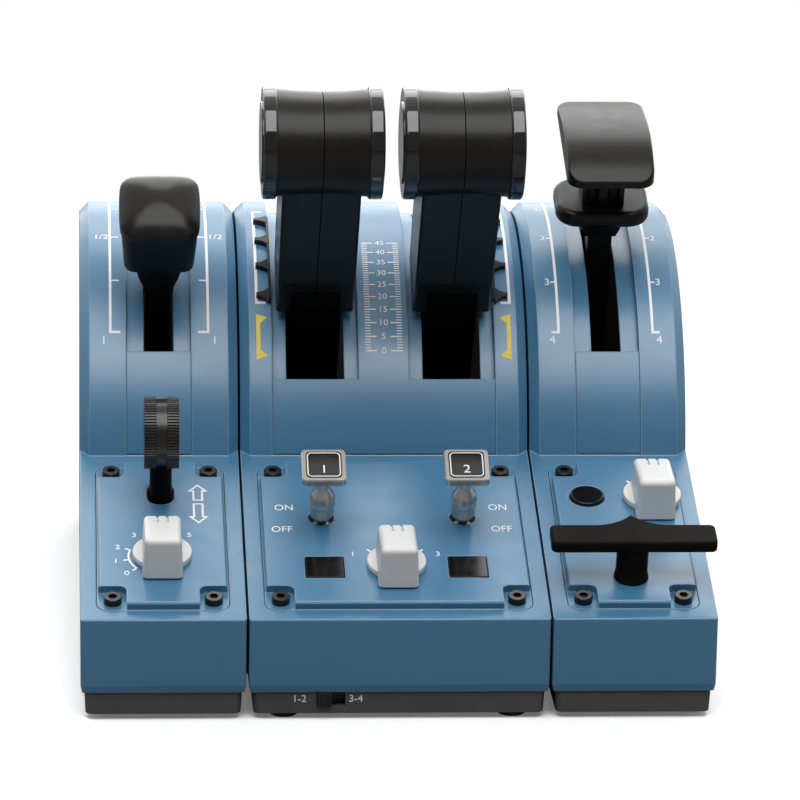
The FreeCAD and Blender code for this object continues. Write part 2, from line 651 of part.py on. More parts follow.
# ---------------------------------------------------------------- control plates
def plate_blank(width):
    flange = plate_outline(width, 0, -PLATE_FLANGE, 0)
    pad = plate_outline(width, -PLATE_GROOVE, -PLATE_FLANGE / 2, PLATE_RAISE)
    pad = pad.makeChamfer(PAD_BEVEL, edges_where(pad, lambda p: p.z > PLATE_RAISE - 0.01))
    half = width / 2 - PLATE_MARGIN
    for sx in (-1, 1):
        for t0, t1, grow in ((0, SCREW_POCKET_T, -1), (PLATE_LENGTH - SCREW_POCKET_T, PLATE_LENGTH, 1)):
            x_in, x_out = half - SCREW_POCKET_X, half + 10
            t_low = PLATE_MARGIN + (t0 if grow > 0 else t0 - 10)
            t_high = PLATE_MARGIN + (t1 if grow < 0 else t1 + 10)
            pocket = rounded_box(min(sx * x_in, sx * x_out), max(sx * x_in, sx * x_out),
                                 t_low, t_high, 0, PLATE_RAISE + 1, SCREW_POCKET_ROUND)
            pad = pad.cut(pocket)
    plate = fuse([flange, pad])
    hollow = plate_opening(width, -TRACK_PLAY, -PLATE_FLANGE - 1, SKIN_UNDER)
    holes = [rod(SCREW_RADIUS + SCREW_PLAY, (x, t, -PLATE_FLANGE - 1), (x, t, 1)) for x, t in screw_places(width)]
    return cut(plate, [hollow] + holes)


def round_hole(x, t, radius):
    return rod(radius, (x, t, -PLATE_FLANGE - 1), (x, t, PLATE_RAISE + 1))


def left_control_plate():
    half_w, half_l = GEAR_SLOT_WIDTH / 2, GEAR_SLOT_LENGTH / 2
    slot = rounded_box(-half_w, half_w, GEAR_T - half_l, GEAR_T + half_l, -5, PLATE_RAISE + 1, half_w - 0.05)
    step_w, step_l = half_w + GEAR_SLOT_STEP, half_l + GEAR_SLOT_STEP
    step = rounded_box(-step_w, step_w, GEAR_T - step_l, GEAR_T + step_l, PLATE_RAISE - PUSH_PLAY, PLATE_RAISE + 1,
                       step_w - 0.05)
    plate = cut(plate_blank(SIDE_WIDTH), [slot, step, round_hole(*LEFT_KNOB, SELECTOR_SHAFT_RADIUS + SELECTOR_HOLE_PLAY)])
    return on_panel(plate, MODULES["left"][0])


def centre_control_plate():
    holes = [round_hole(*CENTRE_KNOB, SELECTOR_SHAFT_RADIUS + SELECTOR_HOLE_PLAY)]
    half_w, half_l = PUSH_WIDTH / 2, PUSH_LENGTH / 2
    for side in (-1, 1):
        holes.append(round_hole(side * TOGGLE_X, TOGGLE_T, TOGGLE_HOLE))
        holes.append(rounded_box(side * PUSH_X - half_w, side * PUSH_X + half_w, PUSH_T - half_l, PUSH_T + half_l,
                                 -5, PLATE_RAISE + 1, EDGE_ROUND))
    return on_panel(cut(plate_blank(CENTRE_WIDTH), holes), MODULES["centre"][0])


def right_control_plate():
    ring = rod(ROUND_RING, (ROUND_X, ROUND_T, PLATE_RAISE - PUSH_PLAY), (ROUND_X, ROUND_T, PLATE_RAISE + 1))
    holes = [
        round_hole(*RIGHT_KNOB, SELECTOR_SHAFT_RADIUS + SELECTOR_HOLE_PLAY),
        round_hole(ROUND_X, ROUND_T, ROUND_RADIUS),
        round_hole(0, HANDLE_T, HANDLE_STUB_RADIUS + SELECTOR_HOLE_PLAY),
        ring,
    ]
    return on_panel(cut(plate_blank(SIDE_WIDTH), holes), MODULES["right"][0])


def panel_screws():
    """Cap screws with hexagon sockets, standing in the plates' corner pockets."""
    screws = []
    for module_x, width in MODULES.values():
        for x, t in screw_places(width):
            head = rod(SCREW_HEAD_RADIUS, (x, t, 0), (x, t, SCREW_HEAD_HEIGHT))
            head = head.makeChamfer(SCREW_PLAY, [e for e in head.Edges if e.BoundBox.ZMin > SCREW_HEAD_HEIGHT - 0.01])
            shank = rod(SCREW_RADIUS, (x, t, -SCREW_DEPTH), (x, t, 0.5))
            turn = [math.radians(60 * k) for k in range(6)]
            corners = [Vector(x + SCREW_SOCKET * math.cos(a), t + SCREW_SOCKET * math.sin(a), SCREW_HEAD_HEIGHT)
                       for a in turn]
            socket = Part.Face(Part.makePolygon(corners + corners[:1])).extrude(Vector(0, 0, -SCREW_SOCKET_DEPTH))
            screws.append(on_panel(fuse([head, shank]).cut(socket), module_x))
    return Part.makeCompound(screws)


# ---------------------------------------------------------------- lever tracks
def track_half_width(name):
    if name == "centre":
        return (THRUST_PITCH + THRUST_CHANNEL_WIDTH) / 2
    return SIDE_TRACK_WIDTH / 2


def track_channels(name):
    """(centre, channel width, slot width) of each lever channel."""
    if name == "centre":
        return [(side * THRUST_PITCH / 2, THRUST_CHANNEL_WIDTH, THRUST_SLOT_WIDTH) for side in (-1, 1)]
    return [(0.0, SIDE_TRACK_WIDTH, SIDE_SLOT_WIDTH)]


def track_insert(name):
    """Curved strip with sunken channels and slots, held by lips under the housing's skin."""
    half = track_half_width(name)
    start = CENTRE_CHANNEL_START if name == "centre" else SIDE_CHANNEL_START
    low = DRUM_FOOT_ANGLE + 0.4
    under = DRUM_RADIUS - HOUSING_WALL - SEAT_PLAY
    strip = sector(TRACK_BACK, DRUM_RADIUS, low, INSERT_END, -half, half)
    lips = sector(TRACK_BACK, under, low + 5, INSERT_END + 1, -half - TRACK_LIP, half + TRACK_LIP)
    insert = fuse([strip, lips])
    tools = []
    for x, channel, slot in track_channels(name):
        floor = DRUM_RADIUS - CHANNEL_DEPTH
        tools.append(sector(floor, DRUM_RADIUS + 1, start, CHANNEL_END, x - channel / 2, x + channel / 2))
        tools.append(sector(TRACK_BACK - 1, DRUM_RADIUS, start, CHANNEL_END, x - slot / 2, x + slot / 2))
    insert = cut(insert, tools)
    insert.translate(Vector(MODULES[name][0], 0, 0))
    return insert


def detent_combs():
    """Clawed combs on the drum, one at the outer side of each thrust track."""
    combs = []
    inner = track_half_width("centre") + TRACK_PLAY + COMB_GAP
    outer = inner + COMB_WIDTH
    low, high = DRUM_RADIUS + THREAD_PLAY, DRUM_RADIUS + COMB_HEIGHT
    start = COMB_FIRST_ANGLE - COMB_CLAW_HALF
    end = COMB_FIRST_ANGLE + COMB_PITCH * (COMB_CLAWS - 1) + COMB_CLAW_HALF
    for side in (-1, 1):
        comb = sector(low, high, start, end, min(side * inner, side * outer), max(side * inner, side * outer))
        for k in range(COMB_CLAWS - 1):
            angle = COMB_FIRST_ANGLE + COMB_PITCH * (k + 0.5)
            bottom = drum_point(DRUM_RADIUS - 1, angle, side * (outer + COMB_SCALLOP_OUT))
            top = drum_point(DRUM_RADIUS + COMB_HEIGHT + 1, angle, side * (outer + COMB_SCALLOP_OUT))
            comb = comb.cut(rod(COMB_SCALLOP, tuple(bottom), tuple(top)))
        combs.append(comb)
    return Part.makeCompound(combs)


# ---------------------------------------------------------------- shafts and brackets
def hub_spans(name):
    """Stations of the lever hubs on a module's shaft."""
    if name == "centre":
        half = THRUST_SLOT_WIDTH / 2 - THRUST_LEG_PLAY
        return [(side * THRUST_PITCH / 2 - half, side * THRUST_PITCH / 2 + half) for side in (-1, 1)]
    return [(-SIDE_HUB_WIDTH / 2, SIDE_HUB_WIDTH / 2)]


def bracket_places(name):
    """Near faces of the bearing brackets across a module, from left to right."""
    _, width = MODULES[name]
    outer = width / 2 - HOUSING_WALL - BRACKET_SIDE_GAP - BRACKET_THICK
    places = [-outer - BRACKET_THICK, outer]
    if name == "centre":
        places.insert(1, -BRACKET_THICK / 2)
    return places


def bearing_bracket(x0):
    """Upright with a rounded top, a window and a flanged foot."""
    x1 = x0 + BRACKET_THICK
    half, top = BRACKET_FOOT / 2, BRACKET_TOP
    upright = extrude_profile([(AXIS_Y - half, TRAY_FLOOR_TOP), (AXIS_Y + half, TRAY_FLOOR_TOP),
                               (AXIS_Y + top, AXIS_Z), (AXIS_Y - top, AXIS_Z)], x0, x1)
    crown = rod(top, (x0, AXIS_Y, AXIS_Z), (x1, AXIS_Y, AXIS_Z))
    middle = (x0 + x1) / 2
    flange = box(middle - BRACKET_FLANGE_WIDTH / 2, middle + BRACKET_FLANGE_WIDTH / 2,
                 AXIS_Y - half, AXIS_Y + half, TRAY_FLOOR_TOP, TRAY_FLOOR_TOP + BRACKET_FLANGE)
    bore = rod(SHAFT_RADIUS + SEAT_PLAY, (x0 - 1, AXIS_Y, AXIS_Z), (x1 + 1, AXIS_Y, AXIS_Z))
    window_z = (AXIS_Z + TRAY_FLOOR_TOP) / 2 - BRACKET_FLANGE
    window = rod(top * 0.8, (x0 - 1, AXIS_Y, window_z), (x1 + 1, AXIS_Y, window_z))
    return cut(fuse([upright, crown, flange]), [bore, window])


def bearing_brackets():
    pieces = []
    for name, (module_x, _) in MODULES.items():
        for x0 in bracket_places(name):
            pieces.append(bearing_bracket(module_x + x0))
    return Part.makeCompound(pieces)


def lever_shafts():
    shafts = []
    for module_x, width in MODULES.values():
        half = width / 2 - HOUSING_WALL - SHAFT_END_GAP
        shafts.append(rod(SHAFT_RADIUS, (module_x - half, AXIS_Y, AXIS_Z), (module_x + half, AXIS_Y, AXIS_Z)))
    return Part.makeCompound(shafts)


def friction_collars():
    """Collars that fill the shaft between each hub and the nearest bracket."""
    collars = []
    for name, (module_x, _) in MODULES.items():
        starts = bracket_places(name)
        spans = hub_spans(name)
        for k, (low, high) in enumerate(spans):
            before = starts[k] + BRACKET_THICK
            after = starts[k + 1]
            for x0, x1 in ((before, low - WASHER_GAP), (high + WASHER_GAP, after)):
                tube = rod(COLLAR_RADIUS, (module_x + x0, AXIS_Y, AXIS_Z), (module_x + x1, AXIS_Y, AXIS_Z))
                bore = rod(SHAFT_RADIUS + SEAT_PLAY, (module_x + x0 - 1, AXIS_Y, AXIS_Z),
                           (module_x + x1 + 1, AXIS_Y, AXIS_Z))
                collars.append(tube.cut(bore))
    return Part.makeCompound(collars)


def hub(x0, x1):
    """Lever hub in lever coordinates, without its bore."""
    return rod(HUB_RADIUS, (x0, 0, 0), (x1, 0, 0))


def bored(arm, reach):
    return arm.cut(rod(SHAFT_RADIUS + SHAFT_PLAY, (-reach, 0, 0), (reach, 0, 0)))


# ---------------------------------------------------------------- side levers
def side_arm(top):
    """Arm of a side lever: hub, web and a square bar up into the grip."""
    half = SIDE_HUB_WIDTH / 2
    bar = box(-SIDE_ARM_WIDTH / 2, SIDE_ARM_WIDTH / 2, -SIDE_ARM_DEPTH / 2, SIDE_ARM_DEPTH / 2, 0, top)
    web = loft((-half, half, -HUB_RADIUS * 0.8, HUB_RADIUS * 0.8, 0),
               (-SIDE_ARM_WIDTH / 2, SIDE_ARM_WIDTH / 2, -SIDE_ARM_DEPTH / 2, SIDE_ARM_DEPTH / 2, 3 * HUB_RADIUS))
    return bored(fuse([hub(-half, half), web, bar]), half + 1)


def arm_socket(top):
    """Pocket that the arm's bar fills."""
    half_w = SIDE_ARM_WIDTH / 2 + GRIP_PLAY
    half_d = SIDE_ARM_DEPTH / 2 + GRIP_PLAY
    return box(-half_w, half_w, -half_d, half_d, 0, top + GRIP_PLAY)


def crowned_pad(width, low, front, rear, edge, crown, peak):
    """Pad with a flat underside and a crowned top; front and rear are distances from the arm."""
    a = Vector(-width / 2, -front, low)
    b = Vector(-width / 2, -front, low + edge)
    c = Vector(-width / 2, -peak, low + crown)
    d = Vector(-width / 2, rear, low + edge)
    e = Vector(-width / 2, rear, low)
    top = Part.BSplineCurve()
    top.interpolate([b, Vector(-width / 2, -(front + peak) / 2, low + edge + 0.74 * (crown - edge)), c,
                     Vector(-width / 2, (rear - peak) / 2, low + edge + 0.66 * (crown - edge)), d])
    wire = Part.Wire([Part.makeLine(a, b), top.toShape(), Part.makeLine(d, e), Part.makeLine(e, a)])
    return Part.Face(wire).extrude(Vector(width, 0, 0))


def speed_brake_block():
    """Lower grip: bowl-shaped neck under a tapered block, over the end of the arm."""
    low = DRUM_RADIUS + GRIP_LIFT
    half_w, half_d, taper = BRAKE_BLOCK_WIDTH / 2, BRAKE_BLOCK_DEPTH / 2, BRAKE_BLOCK_TAPER
    block = loft((-half_w + taper, half_w - taper, -half_d + taper, half_d - taper, BRAKE_BLOCK_LOW),
                 (-half_w, half_w, -half_d, half_d, BRAKE_BLOCK_HIGH))
    sides = [e for e in block.Edges if e.BoundBox.ZLength > 1]
    block = block.makeFillet(BRAKE_BLOCK_ROUND, sides)
    block = block.makeFillet(taper, [e for e in block.Edges if e.BoundBox.ZMax < BRAKE_BLOCK_LOW + 0.01])
    neck_w, neck_d, bowl = BRAKE_NECK_WIDTH / 2, BRAKE_NECK_DEPTH / 2, BRAKE_BOWL_WIDTH / 2
    top = BRAKE_BLOCK_LOW + taper
    foot = box(-neck_w, neck_w, -neck_d, neck_d, low, BRAKE_BOWL_LOW)
    middle = Vector(neck_w + 0.74 * (bowl - neck_w), -neck_d, (BRAKE_BOWL_LOW + top) / 2)
    right = Part.Arc(Vector(neck_w, -neck_d, BRAKE_BOWL_LOW), middle, Vector(bowl, -neck_d, top)).toShape()
    middle = Vector(-middle.x, middle.y, middle.z)
    left = Part.Arc(Vector(-bowl, -neck_d, top), middle, Vector(-neck_w, -neck_d, BRAKE_BOWL_LOW)).toShape()
    rim = Part.makeLine(Vector(bowl, -neck_d, top), Vector(-bowl, -neck_d, top))
    base = Part.makeLine(Vector(-neck_w, -neck_d, BRAKE_BOWL_LOW), Vector(neck_w, -neck_d, BRAKE_BOWL_LOW))
    neck = fuse([foot, Part.Face(Part.Wire([base, right, rim, left])).extrude(Vector(0, 2 * neck_d, 0))])
    return fuse([block, neck]).cut(arm_socket(BRAKE_ARM_TOP))


def speed_brake_cap():
    front = BRAKE_CAP_DEPTH / 2
    pad = crowned_pad(BRAKE_CAP_WIDTH, BRAKE_BLOCK_HIGH, front, front - BRAKE_CAP_BACK, BRAKE_CAP_EDGE,
                      BRAKE_CAP_CROWN, 2.0)
    middle = BRAKE_BLOCK_HIGH + BRAKE_CAP_CROWN - BRAKE_CAP_ARCH
    pad = pad.common(rod(BRAKE_CAP_ARCH, (0, -BRAKE_CAP_DEPTH, middle), (0, BRAKE_CAP_DEPTH, middle)))
    pad = pad.makeFillet(BRAKE_CAP_ROUND, upright_edges(pad))
    rim = [e for e in pad.Edges if e.BoundBox.ZMin > BRAKE_BLOCK_HIGH + 1 and e.BoundBox.ZLength < BRAKE_CAP_CROWN]
    return pad.makeFillet(EDGE_ROUND * 1.4, rim)


def flaps_collar():
    """Guard plate with the fluted neck above it and a tapered sleeve below."""
    half = COLLAR_PLATE_THICK / 2
    low, high = COLLAR_PLATE_RADIUS - half, COLLAR_PLATE_RADIUS + half
    plate = rounded_box(-COLLAR_PLATE_WIDTH / 2, COLLAR_PLATE_WIDTH / 2, -COLLAR_PLATE_DEPTH / 2,
                        COLLAR_PLATE_DEPTH / 2, low, high, COLLAR_PLATE_CORNER)
    rims = [e for e in plate.Edges if e.BoundBox.ZLength < 0.01]
    plate = plate.makeFillet(COLLAR_PLATE_THICK * 0.35, rims)
    half_w, half_d = FLAPS_NECK_WIDTH / 2, FLAPS_NECK_DEPTH / 2
    neck = box(-half_w, half_w, -half_d, half_d, high - 1, FLAPS_CAP_RADIUS)
    flute = half_w / 3
    flutes = [rod(flute, (sx * half_w / 2, sy * (half_d + flute / 2), high),
                  (sx * half_w / 2, sy * (half_d + flute / 2), FLAPS_CAP_RADIUS)) for sx in (-1, 1) for sy in (-1, 1)]
    neck = neck.cut(Part.makeCompound(flutes))
    foot_w, foot_d = SIDE_ARM_WIDTH / 2 + FLAPS_SLEEVE_WALL, SIDE_ARM_DEPTH / 2 + FLAPS_SLEEVE_WALL
    wide = FLAPS_SLEEVE_WIDTH / 2
    sleeve = loft((-foot_w, foot_w, -foot_d, foot_d, FLAPS_SLEEVE_LOW), (-wide, wide, -foot_d - 1, foot_d + 1, low + 1))
    return fuse([plate, neck, sleeve]).cut(arm_socket(FLAPS_ARM_TOP))


def flaps_cap():
    half = FLAPS_CAP_LENGTH / 2
    pad = crowned_pad(FLAPS_CAP_WIDTH, FLAPS_CAP_RADIUS, half + FLAPS_CAP_SHIFT, half - FLAPS_CAP_SHIFT,
                      FLAPS_CAP_EDGE, FLAPS_CAP_CROWN, half / 3)
    pad = pad.makeFillet(FLAPS_CAP_ROUND, upright_edges(pad))
    rim = [e for e in pad.Edges if e.BoundBox.ZMin > FLAPS_CAP_RADIUS + 1 and e.BoundBox.ZLength < FLAPS_CAP_CROWN]
    return pad.makeFillet(EDGE_ROUND * 1.6, rim)


# ---------------------------------------------------------------- thrust levers
def thrust_leg_half():
    return THRUST_SLOT_WIDTH / 2 - THRUST_LEG_PLAY


def thrust_arm():
    """Hub and broad leg through the slot, with a narrower core inside the grip shells."""
    half = thrust_leg_half()
    low = DRUM_RADIUS + THRUST_SHELL_LIFT
    leg = box(-half, half, -THRUST_LEG_DEPTH / 2, THRUST_LEG_DEPTH / 2, 0, low)
    core = box(-THRUST_CORE_WIDTH / 2, THRUST_CORE_WIDTH / 2, -THRUST_CORE_DEPTH / 2, THRUST_CORE_DEPTH / 2,
               low - 1, THRUST_HEAD_RADIUS)
    lighten = THRUST_LEG_DEPTH / 2 - 2.5
    pocket = box(-half - 1, half + 1, -lighten, lighten, HUB_RADIUS + 4, DRUM_RADIUS - CHANNEL_DEPTH - 8)
    web = box(-half / 3, half / 3, -lighten - 1, lighten + 1, HUB_RADIUS, DRUM_RADIUS - CHANNEL_DEPTH)
    leg = fuse([leg.cut(pocket), web])
    return bored(fuse([hub(-half, half), leg, core]), half + 1)


def thrust_barrel():
    """Waisted grip, revolved about the X axis through the head's centre."""
    half = THRUST_BARREL_WIDTH / 2
    bulge = Part.Arc(Vector(-half, 0, THRUST_BARREL_END), Vector(0, 0, THRUST_BARREL_WAIST),
                     Vector(half, 0, THRUST_BARREL_END)).toShape()
    sides = [Part.makeLine(Vector(half, 0, THRUST_BARREL_END), Vector(half, 0, 0)),
             Part.makeLine(Vector(half, 0, 0), Vector(-half, 0, 0)),
             Part.makeLine(Vector(-half, 0, 0), Vector(-half, 0, THRUST_BARREL_END))]
    barrel = Part.Face(Part.Wire([bulge] + sides)).revolve(Vector(0, 0, 0), Vector(1, 0, 0), 360)
    barrel.translate(Vector(0, 0, THRUST_HEAD_RADIUS))
    return barrel


def thrust_grip():
    """Whole grip before it is split: barrel, shank with a sunken ramp, and the channel for the core."""
    low = DRUM_RADIUS + THRUST_SHELL_LIFT
    half_w, half_d, foot = THRUST_SHANK_WIDTH / 2, THRUST_SHANK_DEPTH / 2, THRUST_FOOT_DEPTH / 2
    shank = extrude_profile([(-foot, low), (foot, low), (half_d, THRUST_SHANK_KNEE), (half_d, THRUST_HEAD_RADIUS),
                             (-half_d, THRUST_HEAD_RADIUS), (-half_d, THRUST_SHANK_KNEE)], -half_w, half_w)
    corners = [e for e in shank.Edges if e.BoundBox.ZLength > 5 and e.BoundBox.XLength < 0.01]
    shank = shank.makeFillet(EDGE_ROUND * 1.6, corners)
    play = GRIP_PLAY
    core = box(-THRUST_CORE_WIDTH / 2 - play, THRUST_CORE_WIDTH / 2 + play, -THRUST_CORE_DEPTH / 2 - play,
               THRUST_CORE_DEPTH / 2 + play, low - 1, THRUST_HEAD_RADIUS + play)
    ramp_w, back = THRUST_RAMP_WIDTH / 2, -THRUST_LEG_DEPTH / 2 - 1
    recess = extrude_profile([(-half_d - 1, low - 1), (back, low - 1), (back, low + THRUST_RAMP_HEIGHT / 5),
                              (-half_d - 1, low + THRUST_RAMP_HEIGHT)], -ramp_w, ramp_w)
    return cut(fuse([thrust_barrel(), shank]), [core, recess])


def thrust_shell(side):
    """Half of the grip on one side of the seam."""
    seam = THRUST_SEAM / 2
    reach = THRUST_BARREL_WIDTH
    deep, high = 2 * THRUST_SHANK_DEPTH, THRUST_HEAD_RADIUS + 2 * THRUST_RING_RADIUS
    keep = box(seam, reach, -deep, deep, 0, high) if side > 0 else box(-reach, -seam, -deep, deep, 0, high)
    return thrust_grip().common(keep)


def thrust_ring(side, has_button):
    """End ring: sunken and bored for the button at the outer end, capped at the inner end."""
    start = THRUST_BARREL_WIDTH / 2
    outer = start + THRUST_RING_WIDTH
    ring = rod(THRUST_RING_RADIUS, (start, 0, THRUST_HEAD_RADIUS), (outer, 0, THRUST_HEAD_RADIUS))
    ring = ring.makeFillet(EDGE_ROUND, [e for e in ring.Edges if e.BoundBox.XLength < 0.01])
    recess = rod(THRUST_RING_RECESS, (outer - THRUST_RING_DEPTH, 0, THRUST_HEAD_RADIUS),
                 (outer + 1, 0, THRUST_HEAD_RADIUS))
    if has_button:
        bore = rod(DISCONNECT_STEM + SHAFT_PLAY, (start - 1, 0, THRUST_HEAD_RADIUS), (outer, 0, THRUST_HEAD_RADIUS))
        ring = cut(ring, [recess, bore])
    else:
        cap = rod(DISCONNECT_RADIUS, (start, 0, THRUST_HEAD_RADIUS),
                  (outer + DISCONNECT_PROUD, 0, THRUST_HEAD_RADIUS))
        rim = [e for e in cap.Edges if e.BoundBox.XMin > outer]
        ring = fuse([ring, cap.makeFillet(DISCONNECT_PROUD * 0.8, rim)])
    if side < 0:
        ring = ring.mirror(Vector(0, 0, 0), Vector(1, 0, 0))
    return ring


def thrust_rings(outer_side):
    return Part.makeCompound([thrust_ring(side, side == outer_side) for side in (-1, 1)])


def disconnect_button(side):
    """Round button in the outer end ring, on a stem that slides in the ring's bore."""
    start = THRUST_BARREL_WIDTH / 2
    floor = start + THRUST_RING_WIDTH - THRUST_RING_DEPTH
    face = floor + DISCONNECT_TRAVEL + PUSH_PLAY
    top = start + THRUST_RING_WIDTH + DISCONNECT_PROUD
    cap = rod(DISCONNECT_RADIUS, (face, 0, THRUST_HEAD_RADIUS), (top, 0, THRUST_HEAD_RADIUS))
    cap = cap.makeFillet(DISCONNECT_PROUD * 0.8, [e for e in cap.Edges if e.BoundBox.XMin > top - 0.01])
    stem = rod(DISCONNECT_STEM, (start + DISCONNECT_TRAVEL + PUSH_PLAY, 0, THRUST_HEAD_RADIUS),
               (face + DISCONNECT_PROUD, 0, THRUST_HEAD_RADIUS))
    button = fuse([cap, stem])
    if side < 0:
        button = button.mirror(Vector(0, 0, 0), Vector(1, 0, 0))
    return button


# ---------------------------------------------------------------- selectors
def selector_knob():
    """Disc with an overhanging pointer block and two index grooves, on the plate's surface."""
    disc = rod(KNOB_DISC_RADIUS, (0, 0, KNOB_LIFT), (0, 0, KNOB_LIFT + KNOB_DISC_THICK))
    disc = disc.makeFillet(KNOB_LIFT, [e for e in disc.Edges if e.BoundBox.ZMin > KNOB_LIFT + 0.1])
    half, taper = KNOB_BLOCK_WIDTH / 2, KNOB_BLOCK_TAPER
    block = loft((-half, half, -KNOB_BLOCK_FRONT, KNOB_BLOCK_REAR, KNOB_LIFT * 2),
                 (-half + taper, half - taper, -KNOB_BLOCK_FRONT + taper, KNOB_BLOCK_REAR - taper, KNOB_BLOCK_HEIGHT))
    fall = extrude_profile([(-KNOB_BLOCK_FRONT + taper, KNOB_BLOCK_HEIGHT), (KNOB_BLOCK_REAR + 1, KNOB_BLOCK_HEIGHT),
                            (KNOB_BLOCK_REAR + 1, KNOB_BLOCK_HEIGHT - KNOB_BLOCK_FALL)], -half - 1, half + 1)
    block = block.cut(fall)
    edges = [e for e in block.Edges if e.BoundBox.ZMax > KNOB_LIFT * 2 + 0.5]
    block = block.makeFillet(KNOB_ROUND, edges)
    grooves = []
    for side in (-1, 1):
        x = side * KNOB_GROOVE_SPACING
        grooves.append(box(x - KNOB_GROOVE / 2, x + KNOB_GROOVE / 2, KNOB_BLOCK_REAR - KNOB_GROOVE_LENGTH,
                           KNOB_BLOCK_REAR + 1, KNOB_BLOCK_HEIGHT - KNOB_BLOCK_FALL - KNOB_GROOVE, KNOB_BLOCK_HEIGHT))
    knob = fuse([disc, block.cut(Part.makeCompound(grooves))])
    bore = rod(SELECTOR_SHAFT_RADIUS + SEAT_PLAY, (0, 0, 0), (0, 0, KNOB_BLOCK_HEIGHT / 2))
    return knob.cut(bore)


def place_on_plate(shape, place, name):
    x, t = place
    moved = shape.copy()
    moved.translate(Vector(x, t, PLATE_RAISE))
    return on_panel(moved, MODULES[name][0])


def selector_shaft():
    top = KNOB_BLOCK_HEIGHT / 2
    return rod(SELECTOR_SHAFT_RADIUS, (0, 0, top - SELECTOR_SHAFT_LENGTH), (0, 0, top))


def selector_switches():
    """Rotary switch bodies, hung under the plates round the selector shafts."""
    pieces = []
    top = SKIN_UNDER - PLATE_RAISE
    half = SELECTOR_BODY / 2
    for place, name in ((LEFT_KNOB, "left"), (CENTRE_KNOB, "centre"), (RIGHT_KNOB, "right")):
        body = rounded_box(-half, half, -half, half, top - SELECTOR_BODY_HEIGHT, top, EDGE_ROUND)
        bore = rod(SELECTOR_SHAFT_RADIUS + SHAFT_PLAY, (0, 0, -SELECTOR_SHAFT_LENGTH), (0, 0, 0))
        pieces.append(place_on_plate(body.cut(bore), place, name))
    return Part.makeCompound(pieces)


# ---------------------------------------------------------------- toggles
def toggle_bat():
    """Turned bat from its cross pin to the neck under the head; origin at the pivot."""
    drop = TOGGLE_PIVOT_DROP
    top = drop + TOGGLE_HEIGHT - TOGGLE_HEAD_THICK
    neck, body, bulb = TOGGLE_NECK, TOGGLE_BODY_RADIUS, TOGGLE_BULB_RADIUS
    bulb_top, shoulder = drop + TOGGLE_BULB_TOP, drop + TOGGLE_SHOULDER_TOP
    profile = [(0, 0), (neck, 0), (neck, drop - 0.6), (body, drop + TOGGLE_CONE_TOP), (body, drop + TOGGLE_BODY_TOP),
               (bulb, drop + TOGGLE_BODY_TOP + 0.8), (bulb, bulb_top), (bulb * 0.86, 0.6 * bulb_top + 0.4 * shoulder),
               (neck, shoulder), (neck, top - TOGGLE_HEAD_THICK), (neck * 1.6, top), (0, top)]
    half = TOGGLE_TRUNNION_WIDTH / 2
    pin = rod(TOGGLE_TRUNNION, (-half, 0, 0), (half, 0, 0))
    return fuse([revolve(profile), pin])


def toggle_head():
    half = TOGGLE_HEAD / 2
    top = TOGGLE_PIVOT_DROP + TOGGLE_HEIGHT
    head = rounded_box(-half, half, -half, half, top - TOGGLE_HEAD_THICK, top, EDGE_ROUND * 2)
    rim = edges_where(head, lambda p: p.z > top - 0.01)
    return head.makeChamfer(EDGE_ROUND / 2, rim)


def trunnion_block(radius, width, opening, size_x, size_t, drop):
    """Switch body with a cross bore for a lever's pin and a slot for its stem."""
    top = SKIN_UNDER
    pivot = PLATE_RAISE - drop
    low = pivot - radius - 2.5
    body = box(-size_x / 2, size_x / 2, -size_t / 2, size_t / 2, low, top)
    bore = rod(radius + PIVOT_PLAY, (-width / 2 - PIVOT_PLAY, 0, pivot), (width / 2 + PIVOT_PLAY, 0, pivot))
    half = width / 2 + PIVOT_PLAY
    throat = box(-half, half, -opening, opening, pivot, top + 1)
    return body.cut(bore).cut(throat)


def toggle_switches():
    body = trunnion_block(TOGGLE_TRUNNION, TOGGLE_TRUNNION_WIDTH, TOGGLE_TRUNNION + PUSH_PLAY,
                          3 * TOGGLE_TRUNNION + 3, 4 * TOGGLE_TRUNNION + 3, TOGGLE_PIVOT_DROP)
    pieces = []
    for side in (-1, 1):
        moved = body.copy()
        moved.translate(Vector(side * TOGGLE_X, TOGGLE_T, 0))
        pieces.append(on_panel(moved, MODULES["centre"][0]))
    return Part.makeCompound(pieces)


# ---------------------------------------------------------------- landing gear lever
def gear_arm():
    """Round stem with a cross pin below and an axle stub through the wheel."""
    half = GEAR_TRUNNION_WIDTH / 2
    stem = rod(GEAR_STEM_RADIUS, (0, 0, 0), (0, 0, GEAR_ARM_LENGTH - GEAR_WHEEL_RADIUS / 2))
    pin = rod(GEAR_TRUNNION, (-half, 0, 0), (half, 0, 0))
    axle_half = GEAR_WHEEL_WIDTH / 2 - 0.5
    axle = rod(GEAR_STEM_RADIUS, (-axle_half, 0, GEAR_ARM_LENGTH), (axle_half, 0, GEAR_ARM_LENGTH))
    neck = box(-GEAR_BAND_WIDTH / 2, GEAR_BAND_WIDTH / 2, -GEAR_STEM_RADIUS, GEAR_STEM_RADIUS,
               GEAR_ARM_LENGTH - GEAR_WHEEL_RADIUS, GEAR_ARM_LENGTH)
    return fuse([stem, pin, axle, neck])


